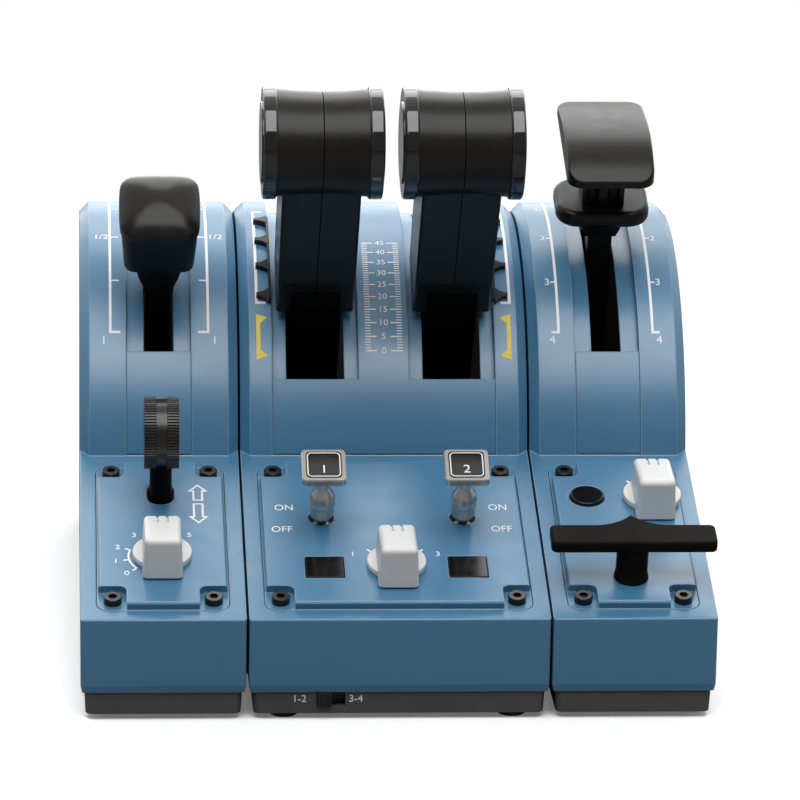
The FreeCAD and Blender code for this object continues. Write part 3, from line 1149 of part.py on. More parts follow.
def gear_wheel_cut():
    """Space that the stem and axle take inside the wheel."""
    play = GRIP_PLAY
    stem = rod(GEAR_STEM_RADIUS + play, (0, 0, 0), (0, 0, GEAR_ARM_LENGTH - GEAR_WHEEL_RADIUS / 2 + play))
    axle = rod(GEAR_STEM_RADIUS + play, (-GEAR_WHEEL_WIDTH, 0, GEAR_ARM_LENGTH), (GEAR_WHEEL_WIDTH, 0, GEAR_ARM_LENGTH))
    neck = box(-GEAR_BAND_WIDTH / 2 - play, GEAR_BAND_WIDTH / 2 + play, -GEAR_STEM_RADIUS - play,
               GEAR_STEM_RADIUS + play, GEAR_ARM_LENGTH - GEAR_WHEEL_RADIUS, GEAR_ARM_LENGTH)
    return fuse([stem, axle, neck])


def gear_wheel_halves():
    """Two knurled tyres, one each side of the smooth band."""
    outline = []
    for k in range(GEAR_KNURLS):
        for part, radius in ((0.0, GEAR_WHEEL_RADIUS), (0.5, GEAR_WHEEL_RADIUS),
                             (0.75, GEAR_WHEEL_RADIUS - GEAR_KNURL_DEPTH)):
            turn = 2 * math.pi * (k + part) / GEAR_KNURLS
            outline.append((radius * math.cos(turn), GEAR_ARM_LENGTH + radius * math.sin(turn)))
    halves = []
    width = (GEAR_WHEEL_WIDTH - GEAR_BAND_WIDTH) / 2 - GRIP_PLAY
    for side in (-1, 1):
        start = side * (GEAR_BAND_WIDTH / 2 + GRIP_PLAY)
        half = extrude_profile(outline, start, start + side * width)
        halves.append(half.cut(gear_wheel_cut()))
    return Part.makeCompound(halves)


def gear_wheel_band():
    half = GEAR_BAND_WIDTH / 2
    band = rod(GEAR_BAND_RADIUS, (-half, 0, GEAR_ARM_LENGTH), (half, 0, GEAR_ARM_LENGTH))
    return band.cut(gear_wheel_cut())


# ---------------------------------------------------------------- push buttons
def push_button():
    """Flat cap with a retaining flange below the plate and a guide stem."""
    half_w, half_l = PUSH_WIDTH / 2 - PUSH_PLAY, PUSH_LENGTH / 2 - PUSH_PLAY
    top = PLATE_RAISE + PUSH_PLAY
    flange_top = SKIN_UNDER - PUSH_PLAY
    cap = rounded_box(-half_w, half_w, -half_l, half_l, flange_top - PUSH_FLANGE, top, EDGE_ROUND * 0.8)
    cap = cap.makeChamfer(PUSH_PLAY, edges_where(cap, lambda p: p.z > top - 0.01))
    flange = box(-half_w - PUSH_FLANGE, half_w + PUSH_FLANGE, -half_l - PUSH_FLANGE, half_l + PUSH_FLANGE,
                 flange_top - PUSH_FLANGE, flange_top)
    stem = rod(SELECTOR_SHAFT_RADIUS, (0, 0, SKIN_UNDER - PUSH_FRAME_DEPTH), (0, 0, flange_top))
    return fuse([cap, flange, stem])


def round_button():
    radius = ROUND_RADIUS - ROUND_PLAY
    top = PLATE_RAISE + ROUND_PROUD
    flange_top = SKIN_UNDER - PUSH_PLAY
    cap = rod(radius, (0, 0, flange_top - PUSH_FLANGE), (0, 0, top))
    cap = cap.makeFillet(ROUND_PROUD * 0.7, [e for e in cap.Edges if e.BoundBox.ZMin > top - 0.01])
    flange = rod(radius + PUSH_FLANGE, (0, 0, flange_top - PUSH_FLANGE), (0, 0, flange_top))
    stem = rod(SELECTOR_SHAFT_RADIUS, (0, 0, SKIN_UNDER - PUSH_FRAME_DEPTH), (0, 0, flange_top))
    return fuse([cap, flange, stem])


def button_switches():
    """Cups under the plates that guide the push buttons and hold their contacts."""
    low = SKIN_UNDER - PUSH_FRAME_DEPTH
    room = PUSH_FLANGE + PUSH_PLAY
    wall = PUSH_FRAME_WALL
    half_w, half_l = PUSH_WIDTH / 2 + room, PUSH_LENGTH / 2 + room
    bore = rod(SELECTOR_SHAFT_RADIUS + SHAFT_PLAY, (0, 0, low - PUSH_TRAVEL - 5), (0, 0, SKIN_UNDER))
    cup = box(-half_w - wall, half_w + wall, -half_l - wall, half_l + wall, low, SKIN_UNDER)
    cup = cut(cup, [box(-half_w, half_w, -half_l, half_l, low + 2 * wall, SKIN_UNDER + 1), bore])
    pieces = []
    for side in (-1, 1):
        moved = cup.copy()
        moved.translate(Vector(side * PUSH_X, PUSH_T, 0))
        pieces.append(on_panel(moved, MODULES["centre"][0]))
    radius = ROUND_RADIUS + room
    round_cup = cut(rod(radius + wall, (0, 0, low), (0, 0, SKIN_UNDER)),
                    [rod(radius, (0, 0, low + 2 * wall), (0, 0, SKIN_UNDER + 1)), bore])
    round_cup.translate(Vector(ROUND_X, ROUND_T, 0))
    pieces.append(on_panel(round_cup, MODULES["right"][0]))
    return Part.makeCompound(pieces)


# ---------------------------------------------------------------- parking brake handle
def park_brake_handle():
    """T-handle: flat bar with a pointed rise, on a flared stem with a stub through the plate."""
    half_l, half_w = HANDLE_LENGTH / 2, HANDLE_WIDTH / 2
    low, high = HANDLE_HEIGHT, HANDLE_HEIGHT + HANDLE_THICK
    peak, reach = HANDLE_PEAK, HANDLE_PEAK_HALF
    bar = rounded_box(-half_l, half_l, -half_w, half_w, low, high, EDGE_ROUND * 2.5)
    rise = []
    for side in (-1, 1):
        foot = Vector(side * reach, half_w, low)
        tip = Vector(0, half_w + peak, low)
        bend = Vector(side * reach * 0.42, half_w + peak * 0.3, low)
        rise.append(Part.Arc(foot, bend, tip).toShape())
    base = Part.makeLine(Vector(-reach, half_w, low), Vector(reach, half_w, low))
    point = Part.Face(Part.Wire(Part.__sortEdges__([base] + rise))).extrude(Vector(0, 0, HANDLE_THICK))
    bar = fuse([bar, point])
    rims = [e for e in bar.Edges if e.BoundBox.ZLength < 0.01 and e.BoundBox.YMax < half_w - 0.1]
    bar = bar.makeFillet(EDGE_ROUND, [e for e in rims if e.Length > EDGE_ROUND])
    start = PLATE_RAISE + KNOB_LIFT
    stem = revolve([(0, start), (HANDLE_STEM_RADIUS + HANDLE_FLARE, start), (HANDLE_STEM_RADIUS, start + 3),
                    (HANDLE_STEM_RADIUS, low + 1), (0, low + 1)])
    stub = rod(HANDLE_STUB_RADIUS, (0, 0, SKIN_UNDER - SELECTOR_BODY_HEIGHT - 2), (0, 0, start + 1))
    return fuse([bar, stem, stub])


def handle_switches():
    """Switch bodies of the gear lever, the parking brake handle and the slide switch."""
    gear = trunnion_block(GEAR_TRUNNION, GEAR_TRUNNION_WIDTH, GEAR_TRUNNION + PUSH_PLAY,
                          GEAR_TRUNNION_WIDTH + 7, 4 * GEAR_TRUNNION, GEAR_PIVOT_DROP)
    gear.translate(Vector(0, GEAR_T, 0))
    half = SELECTOR_BODY / 2 + 2
    brake = rounded_box(-half, half, -half, half, SKIN_UNDER - SELECTOR_BODY_HEIGHT, SKIN_UNDER, EDGE_ROUND)
    brake = brake.cut(rod(HANDLE_STUB_RADIUS + SHAFT_PLAY, (0, 0, -20), (0, 0, 5)))
    brake.translate(Vector(0, HANDLE_T, 0))
    wall = FRONT_Y + TRAY_INSET + TRAY_WALL + TRAY_DRAFT
    back = wall + SLIDE_CARRIAGE + 2 * SLIDE_PLAY
    width = SLIDE_SLOT_WIDTH + SLIDE_KNOB_WIDTH
    guide = box(SLIDE_X - width, SLIDE_X + width, wall, back + 3, TRAY_FLOOR_TOP, TRAY_TOP - SLIDE_PLAY)
    room = box(SLIDE_X - width + 2, SLIDE_X + width - 2, wall - 1, back, TRAY_FLOOR_TOP + SLIDE_PLAY, TRAY_TOP)
    return Part.makeCompound([on_panel(gear, MODULES["left"][0]), on_panel(brake, MODULES["right"][0]),
                              guide.cut(room)])


def slide_switch_knob():
    """Ridged thumb piece in the tray's front wall, on a carriage behind the wall."""
    wall_face = FRONT_Y + TRAY_INSET
    wall_back = wall_face + TRAY_WALL + TRAY_DRAFT
    left = SLIDE_X - SLIDE_SLOT_WIDTH / 2 + SLIDE_PLAY
    right = left + SLIDE_KNOB_WIDTH
    z = (SLIDE_SLOT_LOW + TRAY_TOP) / 2
    half_h = (TRAY_TOP - SLIDE_SLOT_LOW) / 2 - SLIDE_PLAY
    thumb = box(left, right, wall_face - SLIDE_PROUD + SLIDE_RIDGE_DEPTH, wall_back + SLIDE_PLAY, z - half_h, z + half_h)
    pitch = SLIDE_KNOB_WIDTH / (2 * SLIDE_RIDGES - 1)
    ridges = [box(left + 2 * k * pitch, left + (2 * k + 1) * pitch, wall_face - SLIDE_PROUD,
                  wall_face + 1, z - half_h, z + half_h) for k in range(SLIDE_RIDGES)]
    carriage = box(left - 2, right + 2, wall_back + SLIDE_PLAY, wall_back + SLIDE_PLAY + SLIDE_CARRIAGE,
                   TRAY_FLOOR_TOP + 2 * SLIDE_PLAY, TRAY_TOP - 2 * SLIDE_PLAY)
    return fuse([thumb] + ridges + [carriage])


# ---------------------------------------------------------------- electronics
def circuit_boards():
    boards = []
    for name, (module_x, _) in MODULES.items():
        x0, x1, y0, y1 = board_box(name)
        low = TRAY_FLOOR_TOP + BOARD_POST
        boards.append(box(module_x + x0, module_x + x1, y0, y1, low, low + BOARD_THICK))
    return Part.makeCompound(boards)


def usb_socket():
    """Square inlet in the rear of the centre housing, with its contact tongue set back."""
    w, h = USB_WIDTH / 2, USB_HEIGHT / 2
    shell = box(-w, w, REAR_Y - USB_LENGTH, REAR_Y, USB_Z - h, USB_Z + h)
    mouth = box(-w + USB_WALL, w - USB_WALL, REAR_Y - USB_LENGTH + USB_WALL, REAR_Y + 1,
                USB_Z - h + USB_WALL, USB_Z + h - USB_WALL)
    tongue = box(-w / 2, w / 2, REAR_Y - USB_LENGTH + 1, REAR_Y - USB_TONGUE_BACK,
                 USB_Z - USB_WALL, USB_Z + USB_WALL)
    return fuse([shell.cut(mouth), tongue])


# ---------------------------------------------------------------- assembly
def side_lever_nodes():
    left_x, right_x = MODULES["left"][0], MODULES["right"][0]
    return {
        "speed_brake_arm": on_lever(side_arm(BRAKE_ARM_TOP), left_x, SPEED_BRAKE_ANGLE),
        "speed_brake_block": on_lever(speed_brake_block(), left_x, SPEED_BRAKE_ANGLE),
        "speed_brake_cap": on_lever(speed_brake_cap(), left_x, SPEED_BRAKE_ANGLE),
        "flaps_arm": on_lever(side_arm(FLAPS_ARM_TOP), right_x, FLAPS_ANGLE),
        "flaps_collar": on_lever(flaps_collar(), right_x, FLAPS_ANGLE),
        "flaps_cap": on_lever(flaps_cap(), right_x, FLAPS_ANGLE),
    }


def thrust_lever_nodes():
    nodes = {}
    for name, side in (("left", -1), ("right", 1)):
        lever_x = side * THRUST_PITCH / 2
        pieces = {
            "thrust_arm": thrust_arm(),
            "thrust_outer_shell": thrust_shell(side),
            "thrust_inner_shell": thrust_shell(-side),
            "thrust_end_rings": thrust_rings(side),
            "disconnect_button": disconnect_button(side),
        }
        for piece, shape in pieces.items():
            nodes[name + "_" + piece] = on_lever(shape, lever_x, THRUST_ANGLE)
    return nodes


def gear_nodes():
    pieces = {"gear_arm": gear_arm(), "gear_wheel_halves": gear_wheel_halves(), "gear_wheel_band": gear_wheel_band()}
    return {name: on_panel(leaning(shape, 0, GEAR_T, GEAR_PIVOT_DROP, GEAR_LEAN), MODULES["left"][0])
            for name, shape in pieces.items()}


def selector_nodes():
    nodes = {}
    for name, place in (("left", LEFT_KNOB), ("centre", CENTRE_KNOB), ("right", RIGHT_KNOB)):
        nodes[name + "_selector_knob"] = place_on_plate(selector_knob(), place, name)
        nodes[name + "_selector_shaft"] = place_on_plate(selector_shaft(), place, name)
    return nodes


def toggle_nodes():
    nodes = {}
    for name, side in (("left", -1), ("right", 1)):
        for piece, shape in (("toggle_bat", toggle_bat()), ("toggle_head", toggle_head())):
            stood = leaning(shape, side * TOGGLE_X, TOGGLE_T, TOGGLE_PIVOT_DROP, TOGGLE_LEAN)
            nodes[name + "_" + piece] = on_panel(stood, MODULES["centre"][0])
        button = push_button()
        button.translate(Vector(side * PUSH_X, PUSH_T, 0))
        nodes[name + "_push_button"] = on_panel(button, MODULES["centre"][0])
    return nodes


def right_panel_nodes():
    button = round_button()
    button.translate(Vector(ROUND_X, ROUND_T, 0))
    handle = park_brake_handle()
    handle.translate(Vector(0, HANDLE_T, 0))
    right_x = MODULES["right"][0]
    return {"round_push_button": on_panel(button, right_x), "park_brake_handle": on_panel(handle, right_x)}


def all_nodes():
    nodes = {}
    for name in MODULES:
        nodes[name + "_housing"] = housing(name)
        nodes[name + "_base_tray"] = base_tray(name)
        nodes[name + "_track_insert"] = track_insert(name)
    nodes["left_control_plate"] = left_control_plate()
    nodes["centre_control_plate"] = centre_control_plate()
    nodes["right_control_plate"] = right_control_plate()
    for maker in (panel_screws, base_screws, rubber_feet, link_plates, bearing_brackets, lever_shafts,
                  friction_collars, detent_combs, selector_switches, toggle_switches, button_switches,
                  handle_switches, circuit_boards, usb_socket, slide_switch_knob):
        nodes[maker.__name__] = maker()
    for group in (side_lever_nodes(), thrust_lever_nodes(), gear_nodes(), selector_nodes(), toggle_nodes(),
                  right_panel_nodes()):
        nodes.update(group)
    return nodes


def main():
    os.makedirs("parts", exist_ok=True)
    for name, shape in all_nodes().items():
        solids = shape.Solids
        print(name, "solids", len(solids), "valid", shape.isValid(), "volume", round(shape.Volume, 1))
        shape.exportStep("parts/" + name + ".step")


main()
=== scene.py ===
"""Looks of a desktop throttle quadrant: finishes, printed scales, inlays, lamps and camera."""

import json
import logging
import math
from collections.abc import Callable
from dataclasses import dataclass, field
from enum import Enum

import bmesh
import bpy
from mathutils import Matrix, Vector


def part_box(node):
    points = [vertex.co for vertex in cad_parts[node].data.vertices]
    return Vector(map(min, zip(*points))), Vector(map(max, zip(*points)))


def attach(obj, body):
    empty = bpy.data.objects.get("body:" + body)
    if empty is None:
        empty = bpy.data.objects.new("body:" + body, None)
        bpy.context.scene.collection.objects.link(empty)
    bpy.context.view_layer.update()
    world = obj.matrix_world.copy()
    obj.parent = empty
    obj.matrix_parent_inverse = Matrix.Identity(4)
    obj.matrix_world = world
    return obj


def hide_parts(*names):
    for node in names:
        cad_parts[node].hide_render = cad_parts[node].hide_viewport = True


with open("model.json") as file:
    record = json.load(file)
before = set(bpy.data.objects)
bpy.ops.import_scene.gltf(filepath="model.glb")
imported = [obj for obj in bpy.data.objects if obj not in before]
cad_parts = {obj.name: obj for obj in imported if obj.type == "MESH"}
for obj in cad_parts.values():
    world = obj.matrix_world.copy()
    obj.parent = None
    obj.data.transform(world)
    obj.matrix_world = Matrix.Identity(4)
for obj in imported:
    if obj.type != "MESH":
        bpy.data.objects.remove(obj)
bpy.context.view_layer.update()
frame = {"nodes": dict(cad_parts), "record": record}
LOG = logging.getLogger("throttle_quadrant")

MM = 0.001
PLATE_TOP = 3.4 * MM          # control plates above the housings' sloped faces
DRUM_RADIUS = 94.4 * MM
CHANNEL_FLOOR = 89.9 * MM     # floor of the lever channels, from the drum's axis
HOUSING_WALL = 2.6 * MM
DRUM_BEVEL = 3.8 * MM
INK = 0.05 * MM               # printed line, from face to back
INK_LIFT = 0.015 * MM         # middle of a printed line above the surface
FRONT_EDGE = 40.7 * MM        # height of the housings' upper front edge
# Below this margin under a channel's floor, the wall carries painted shade.
CHANNEL_MARGIN = 0.25 * MM    # painted part of the wall under a channel's floor
CORNER_STEPS = 5              # straight parts of a rounded corner
ARC_STEP = 1.5                # degrees of one straight part of a line round the drum
ARC_LEAST = 6                 # fewest parts of such a line
CAP_SHARE = 0.70              # a capital's height in the lettering's size
CURVE_STEPS = 5               # parts of each curve in a character
NEAR = 0.01 * MM              # slack when edges and faces are picked by place

Triple = tuple[float, float, float]
Colour = Triple
Socket = bpy.types.NodeSocket


class Ink(Enum):
    """Printing inks used on the housings and plates."""

    WHITE = "white_ink"
    YELLOW = "yellow_ink"


class Pick(Enum):
    """Elements of a mesh that are picked in edit mode."""

    EDGE = "EDGE"
    FACE = "FACE"


# ---------------------------------------------------------------- finishes
class NodeTools:
    """Short calls for the nodes of one node tree."""

    def __init__(self, tree: bpy.types.NodeTree) -> None:
        """Work on a node tree."""
        self.nodes, self.links = tree.nodes, tree.links

    def span(self, source: Socket, low: float, high: float, start: float = 0.3, end: float = 0.7) -> Socket:
        """Map a value between start and end to a value between low and high.

        Args:
            source: Value to map.
            low: Result at start.
            high: Result at end.
            start: Source value that gives low.
            end: Source value that gives high.

        Returns:
            The mapped value.
        """
        node = self.nodes.new("ShaderNodeMapRange")
        for key, value in (("From Min", start), ("From Max", end), ("To Min", low), ("To Max", high)):
            node.inputs[key].default_value = value
        self.links.new(source, node.inputs["Value"])
        return node.outputs["Result"]

    def blend(self, factor: Socket, first: Socket | Colour, second: Socket | Colour) -> Socket:
        """Mix two colours.

        Args:
            factor: 0 gives the first colour and 1 the second.
            first: Colour or colour socket.
            second: Colour or colour socket.

        Returns:
            The mixed colour.
        """
        node = self.nodes.new("ShaderNodeMix")
        node.data_type = "RGBA"
        self.links.new(factor, node.inputs[0])
        for side, colour in ((6, first), (7, second)):
            if isinstance(colour, tuple):
                node.inputs[side].default_value = (*colour, 1.0)
            else:
                self.links.new(colour, node.inputs[side])
        return node.outputs[2]

    def math(self, operation: str, first: Socket | float, second: Socket | float = 0.0) -> Socket:
        """One arithmetic node.

        Args:
            operation: Name of the Math node's operation.
            first: First value or socket.
            second: Second value or socket.

        Returns:
            The result.
        """
        node = self.nodes.new("ShaderNodeMath")
        node.operation = operation
        for side, value in enumerate((first, second)):
            if isinstance(value, (int, float)):
                node.inputs[side].default_value = value
            else:
                self.links.new(value, node.inputs[side])
        return node.outputs[0]

class NodeCanvas(NodeTools):
    """One Principled material under construction."""

    def __init__(self, name: str) -> None:
        """Start the material.

        Args:
            name: Name of the new material.
        """
        self.material = bpy.data.materials.new(name)
        self.material.use_nodes = True
        super().__init__(self.material.node_tree)
        self.shader = self.nodes["Principled BSDF"]
        self.place: Socket = self.nodes.new("ShaderNodeTexCoord").outputs["Object"]

    def constant(self, **values: float | Colour) -> None:
        """Set constant values on the shader's own sockets.

        Args:
            **values: Socket names with underscores for spaces, and their values.
        """
        for key, value in values.items():
            self.shader.inputs[key.replace("_", " ")].default_value = (
                (*value, 1.0) if isinstance(value, tuple) else value)

    def noise(self, scale: float, detail: float = 2.0) -> Socket:
        """Noise over the piece's own coordinates.

        Args:
            scale: Cells per metre.
            detail: Octaves.

        Returns:
            The noise value, about 0.5 on average.
        """
        texture = self.nodes.new("ShaderNodeTexNoise")
        texture.inputs["Scale"].default_value = scale
        texture.inputs["Detail"].default_value = detail
        self.links.new(self.place, texture.inputs["Vector"])
        return texture.outputs["Fac"]

    def relief(self, height: Socket, depth: float, edge: float = 0.0) -> None:
        """Give the surface a fine relief, and round its edges where asked.

        Args:
            height: Height pattern.
            depth: Depth of the relief in metres.
            edge: Radius in metres to which sharp edges look rounded.
        """
        bump = self.nodes.new("ShaderNodeBump")
        bump.inputs["Distance"].default_value = depth
        self.links.new(height, bump.inputs["Height"])
        if edge:
            bevel = self.nodes.new("ShaderNodeBevel")
            bevel.samples = 4
            bevel.inputs["Radius"].default_value = edge
            self.links.new(bevel.outputs["Normal"], bump.inputs["Normal"])
        self.links.new(bump.outputs["Normal"], self.shader.inputs["Normal"])

    def edges(self, radius: float, gain: float) -> Socket:
        """Mask that rises where the surface turns sharply.

        Args:
            radius: Distance in metres over which an edge counts.
            gain: Strength of the mask.

        Returns:
            The mask, from 0 on flat faces to 1 on edges.
        """
        bevel = self.nodes.new("ShaderNodeBevel")
        bevel.samples = 6
        bevel.inputs["Radius"].default_value = radius
        product = self.nodes.new("ShaderNodeVectorMath")
        product.operation = "DOT_PRODUCT"
        self.links.new(bevel.outputs["Normal"], product.inputs[0])
        self.links.new(self.nodes.new("ShaderNodeNewGeometry").outputs["Normal"], product.inputs[1])
        turned = self.math("MULTIPLY", self.math("SUBTRACT", 1.0, product.outputs["Value"]), gain)
        return self.math("MINIMUM", turned, 1.0)

    def link(self, source: Socket, name: str) -> None:
        """Feed a socket of the shader.

        Args:
            source: Value or colour.
            name: Name of the shader's socket.
        """
        self.links.new(source, self.shader.inputs[name])


@dataclass(frozen=True)
class Cavity:
    """Inside of a shell, painted near black as shade: all that is nearer to the drum's axis than radius, inside its
    bevelled sides.
    """

    axis: tuple[float, float]
    radius: float
    centre_x: float
    half_width: float
    bevel: float
    rear: float

    def mask(self, canvas: NodeCanvas) -> Socket:
        """Value that is 1 inside the cavity, where shade is painted, and 0 on the outside.

        Args:
            canvas: Material that uses the mask.

        Returns:
            The mask.
        """
        split = canvas.nodes.new("ShaderNodeSeparateXYZ")
        canvas.links.new(canvas.place, split.inputs[0])
        x, y, z = split.outputs
        across = canvas.math("ABSOLUTE", canvas.math("SUBTRACT", x, self.centre_x))
        back = canvas.math("SUBTRACT", y, self.axis[0])
        up = canvas.math("SUBTRACT", z, self.axis[1])
        reach = canvas.math("SQRT", canvas.math("ADD", canvas.math("MULTIPLY", back, back),
                                                canvas.math("MULTIPLY", up, up)))
        inside = canvas.math("MULTIPLY", canvas.math("LESS_THAN", reach, self.radius),
                             canvas.math("LESS_THAN", across, self.half_width))
        corner = canvas.math("LESS_THAN", canvas.math("ADD", reach, across), self.radius + self.half_width - self.bevel)
        rear_corner = canvas.math("LESS_THAN", canvas.math("ADD", y, across), self.rear + self.half_width - self.bevel)
        inside = canvas.math("MULTIPLY", inside, canvas.math("MULTIPLY", corner, rear_corner))
        return canvas.math("MULTIPLY", inside, canvas.math("LESS_THAN", y, self.rear))


@dataclass(frozen=True)
class PowderCoat:
    """Satin paint on metal: faint orange peel, cloudy tone, rounded edges, a painted highlight along the edges, and
    painted shade inside the shell where a cavity is given.
    """

    name: str
    colour: Colour = (0.050, 0.180, 0.320)
    tint: Colour = (0.053, 0.187, 0.330)
    # Painted shade: near-black colour and extra roughness for the inside of a shell.
    bare: Colour = (0.014, 0.014, 0.015)
    roughness: tuple[float, float] = (0.31, 0.37)
    edge: float = 0.8 * MM
    # Painted highlight: a lighter tone along sharp edges, with the reach and strength of its mask.
    edge_tone: Colour = (0.36, 0.56, 0.74)
    edge_reach: float = 0.7 * MM
    edge_gain: float = 4.5
    shine: float = 0.85
    bare_rough: float = 0.5
    cloud: float = 18.0
    patches: float = 90.0
    peel: float = 2200.0
    peel_depth: float = 0.012 * MM
    cavity: Cavity | None = None

    def material(self) -> bpy.types.Material:
        """Build the paint.

        Returns:
            The material.
        """
        canvas = NodeCanvas(self.name)
        paint = canvas.blend(canvas.span(canvas.noise(self.cloud, 3.0), 0.0, 1.0), self.colour, self.tint)
        # Painted highlight: the colour lightens along sharp edges, convex and concave alike.
        paint = canvas.blend(canvas.edges(self.edge_reach, self.edge_gain), paint, self.edge_tone)
        rough = canvas.span(canvas.noise(self.patches), *self.roughness)
        # Painted shade: the inside of the shell turns near black and rougher.
        if self.cavity:
            mask = self.cavity.mask(canvas)
            paint = canvas.blend(mask, paint, self.bare)
            rough = canvas.math("ADD", rough, canvas.math("MULTIPLY", mask, self.bare_rough))
        canvas.link(paint, "Base Color")
        canvas.link(rough, "Roughness")
        canvas.constant(Specular_IOR_Level=self.shine)
        canvas.relief(canvas.noise(self.peel, 3.0), self.peel_depth, self.edge)
        return canvas.material


@dataclass(frozen=True)
class Moulding:
    """Moulded plastic with a spark-eroded grain and a faintly uneven gloss."""

    name: str
    colour: Colour
    tint: Colour
    roughness: tuple[float, float]
    grain: float = 3000.0
    depth: float = 0.02 * MM
    edge: float = 0.3 * MM
    coat: float = 0.0
    shine: float = 0.5
    coat_roughness: float = 0.04
    cloud: float = 40.0
    patches: float = 160.0

    def material(self) -> bpy.types.Material:
        """Build the plastic.

        Returns:
            The material.
        """
        canvas = NodeCanvas(self.name)
        cloud = canvas.span(canvas.noise(self.cloud, 3.0), 0.0, 1.0)
        canvas.link(canvas.blend(cloud, self.colour, self.tint), "Base Color")
        canvas.link(canvas.span(canvas.noise(self.patches, 4.0), *self.roughness), "Roughness")
        canvas.constant(Coat_Weight=self.coat, Coat_Roughness=self.coat_roughness, Specular_IOR_Level=self.shine)
        canvas.relief(canvas.noise(self.grain, 3.0), self.depth, self.edge)
        return canvas.material


@dataclass(frozen=True)
class Metal:
    """Plated or cast metal with a fine uneven grain."""

    name: str
    colour: Colour
    tint: Colour
    roughness: tuple[float, float]
    edge: float = 0.15 * MM
    grain: float = 900.0
    depth: float = 0.004 * MM
    patches: float = 260.0

    def material(self) -> bpy.types.Material:
        """Build the metal.

        Returns:
            The material.
        """
        canvas = NodeCanvas(self.name)
        grain = canvas.noise(self.grain, 4.0)
        canvas.link(canvas.blend(canvas.span(grain, 0.0, 1.0), self.colour, self.tint), "Base Color")
        canvas.link(canvas.span(canvas.noise(self.patches, 3.0), *self.roughness), "Roughness")
        canvas.constant(Metallic=1.0)
        canvas.relief(grain, self.depth, self.edge)
        return canvas.material


@dataclass(frozen=True)
class CircuitBoard:
    """Green solder mask over faint copper tracks."""

    name: str = "solder_mask"
    mask: Colour = (0.010, 0.080, 0.030)
    track: Colour = (0.030, 0.140, 0.055)
    roughness: tuple[float, float] = (0.2, 0.3)
    patches: float = 200.0
    rows: float = 140.0
    gap: float = 0.08
    depth: float = 0.02 * MM

    def material(self) -> bpy.types.Material:
        """Build the board's finish.

        Returns:
            The material.
        """
        canvas = NodeCanvas(self.name)
        tracks = canvas.nodes.new("ShaderNodeTexBrick")
        tracks.inputs["Scale"].default_value = self.rows
        tracks.inputs["Mortar Size"].default_value = self.gap
        canvas.links.new(canvas.place, tracks.inputs["Vector"])
        canvas.link(canvas.blend(tracks.outputs["Fac"], self.mask, self.track), "Base Color")
        canvas.link(canvas.span(canvas.noise(self.patches), *self.roughness), "Roughness")
        canvas.relief(tracks.outputs["Fac"], self.depth)
        return canvas.material


@dataclass(frozen=True)
class PrintedInk:
    """Screen-printed ink: even colour with slightly thin spots and a dry surface."""

    name: str
    colour: Colour
    thin: Colour
    roughness: tuple[float, float] = (0.4, 0.55)
    thin_span: tuple[float, float] = (0.45, 0.8)
    spots: float = 1500.0
    patches: float = 600.0
    grain: float = 4000.0
    depth: float = 0.004 * MM

    def material(self) -> bpy.types.Material:
        """Build the ink.

        Returns:
            The material.
        """
        canvas = NodeCanvas(self.name)
        spots = canvas.span(canvas.noise(self.spots, 3.0), 0.0, 1.0, *self.thin_span)
        canvas.link(canvas.blend(spots, self.colour, self.thin), "Base Color")
        canvas.link(canvas.span(canvas.noise(self.patches), *self.roughness), "Roughness")
        canvas.relief(canvas.noise(self.grain), self.depth)
        return canvas.material


# ---------------------------------------------------------------- surfaces that carry print
def joint(name: str) -> dict:
    """A joint's entry in the record, by its name."""
    return next(j for j in frame["record"]["behaviour"]["joints"] if j["name"] == name)


@dataclass(frozen=True)
class Panel:
    """A flat face that carries print, such as a control plate's."""

    origin: Vector
    turn: float

    @classmethod
    def at_joint(cls, name: str, rise: float = 0.0, lean: float = 0.0) -> "Panel":
        """The face square to the panels' normal at a joint.

        Args:
            name: Joint whose place is the face's origin.
            rise: Distance of the face from the joint.
            lean: Extra lean towards the user, in degrees.

        Returns:
            The face.
        """
        normal = Vector(joint("brake_handle_turn")["axis"])
        turn = math.atan2(-normal.y, normal.z) + math.radians(lean)
        start = Vector(joint(name)["pos_m"])
        return cls(start + Vector((0.0, -math.sin(turn), math.cos(turn))) * rise, turn)

    def at(self, across: float, along: float, spin: float = 0.0) -> Matrix:
        """Place on the face.

        Args:
            across: Metres to the right of the origin.
            along: Metres up the face from the origin.
            spin: Turn within the face, in degrees.

        Returns:
            The placing matrix.
        """
        return (Matrix.Translation(self.origin) @ Matrix.Rotation(self.turn, 4, "X")
                @ Matrix.Translation((across, along, INK_LIFT)) @ Matrix.Rotation(math.radians(spin), 4, "Z"))


@dataclass(frozen=True)
class Drum:
    """The curved face round the levers' common axis."""

    axis: Vector

    def at(self, across: float, angle: float, rise: float = INK_LIFT) -> Matrix:
        """Place on the drum.

        Args:
            across: X in metres.
            angle: Angle up from the front, in degrees.
            rise: Height above the surface.

        Returns:
            The placing matrix.
        """
        turn = math.radians(90.0 - angle)
        return (Matrix.Translation((across, self.axis.y, self.axis.z)) @ Matrix.Rotation(turn, 4, "X")
                @ Matrix.Translation((0.0, 0.0, DRUM_RADIUS + rise)))


# ---------------------------------------------------------------- small modelling tools
def clear_selection() -> None:
    """Deselect everything, in object mode."""
    if bpy.context.object and bpy.context.object.mode != "OBJECT":
        bpy.ops.object.mode_set(mode="OBJECT")
    bpy.ops.object.select_all(action="DESELECT")


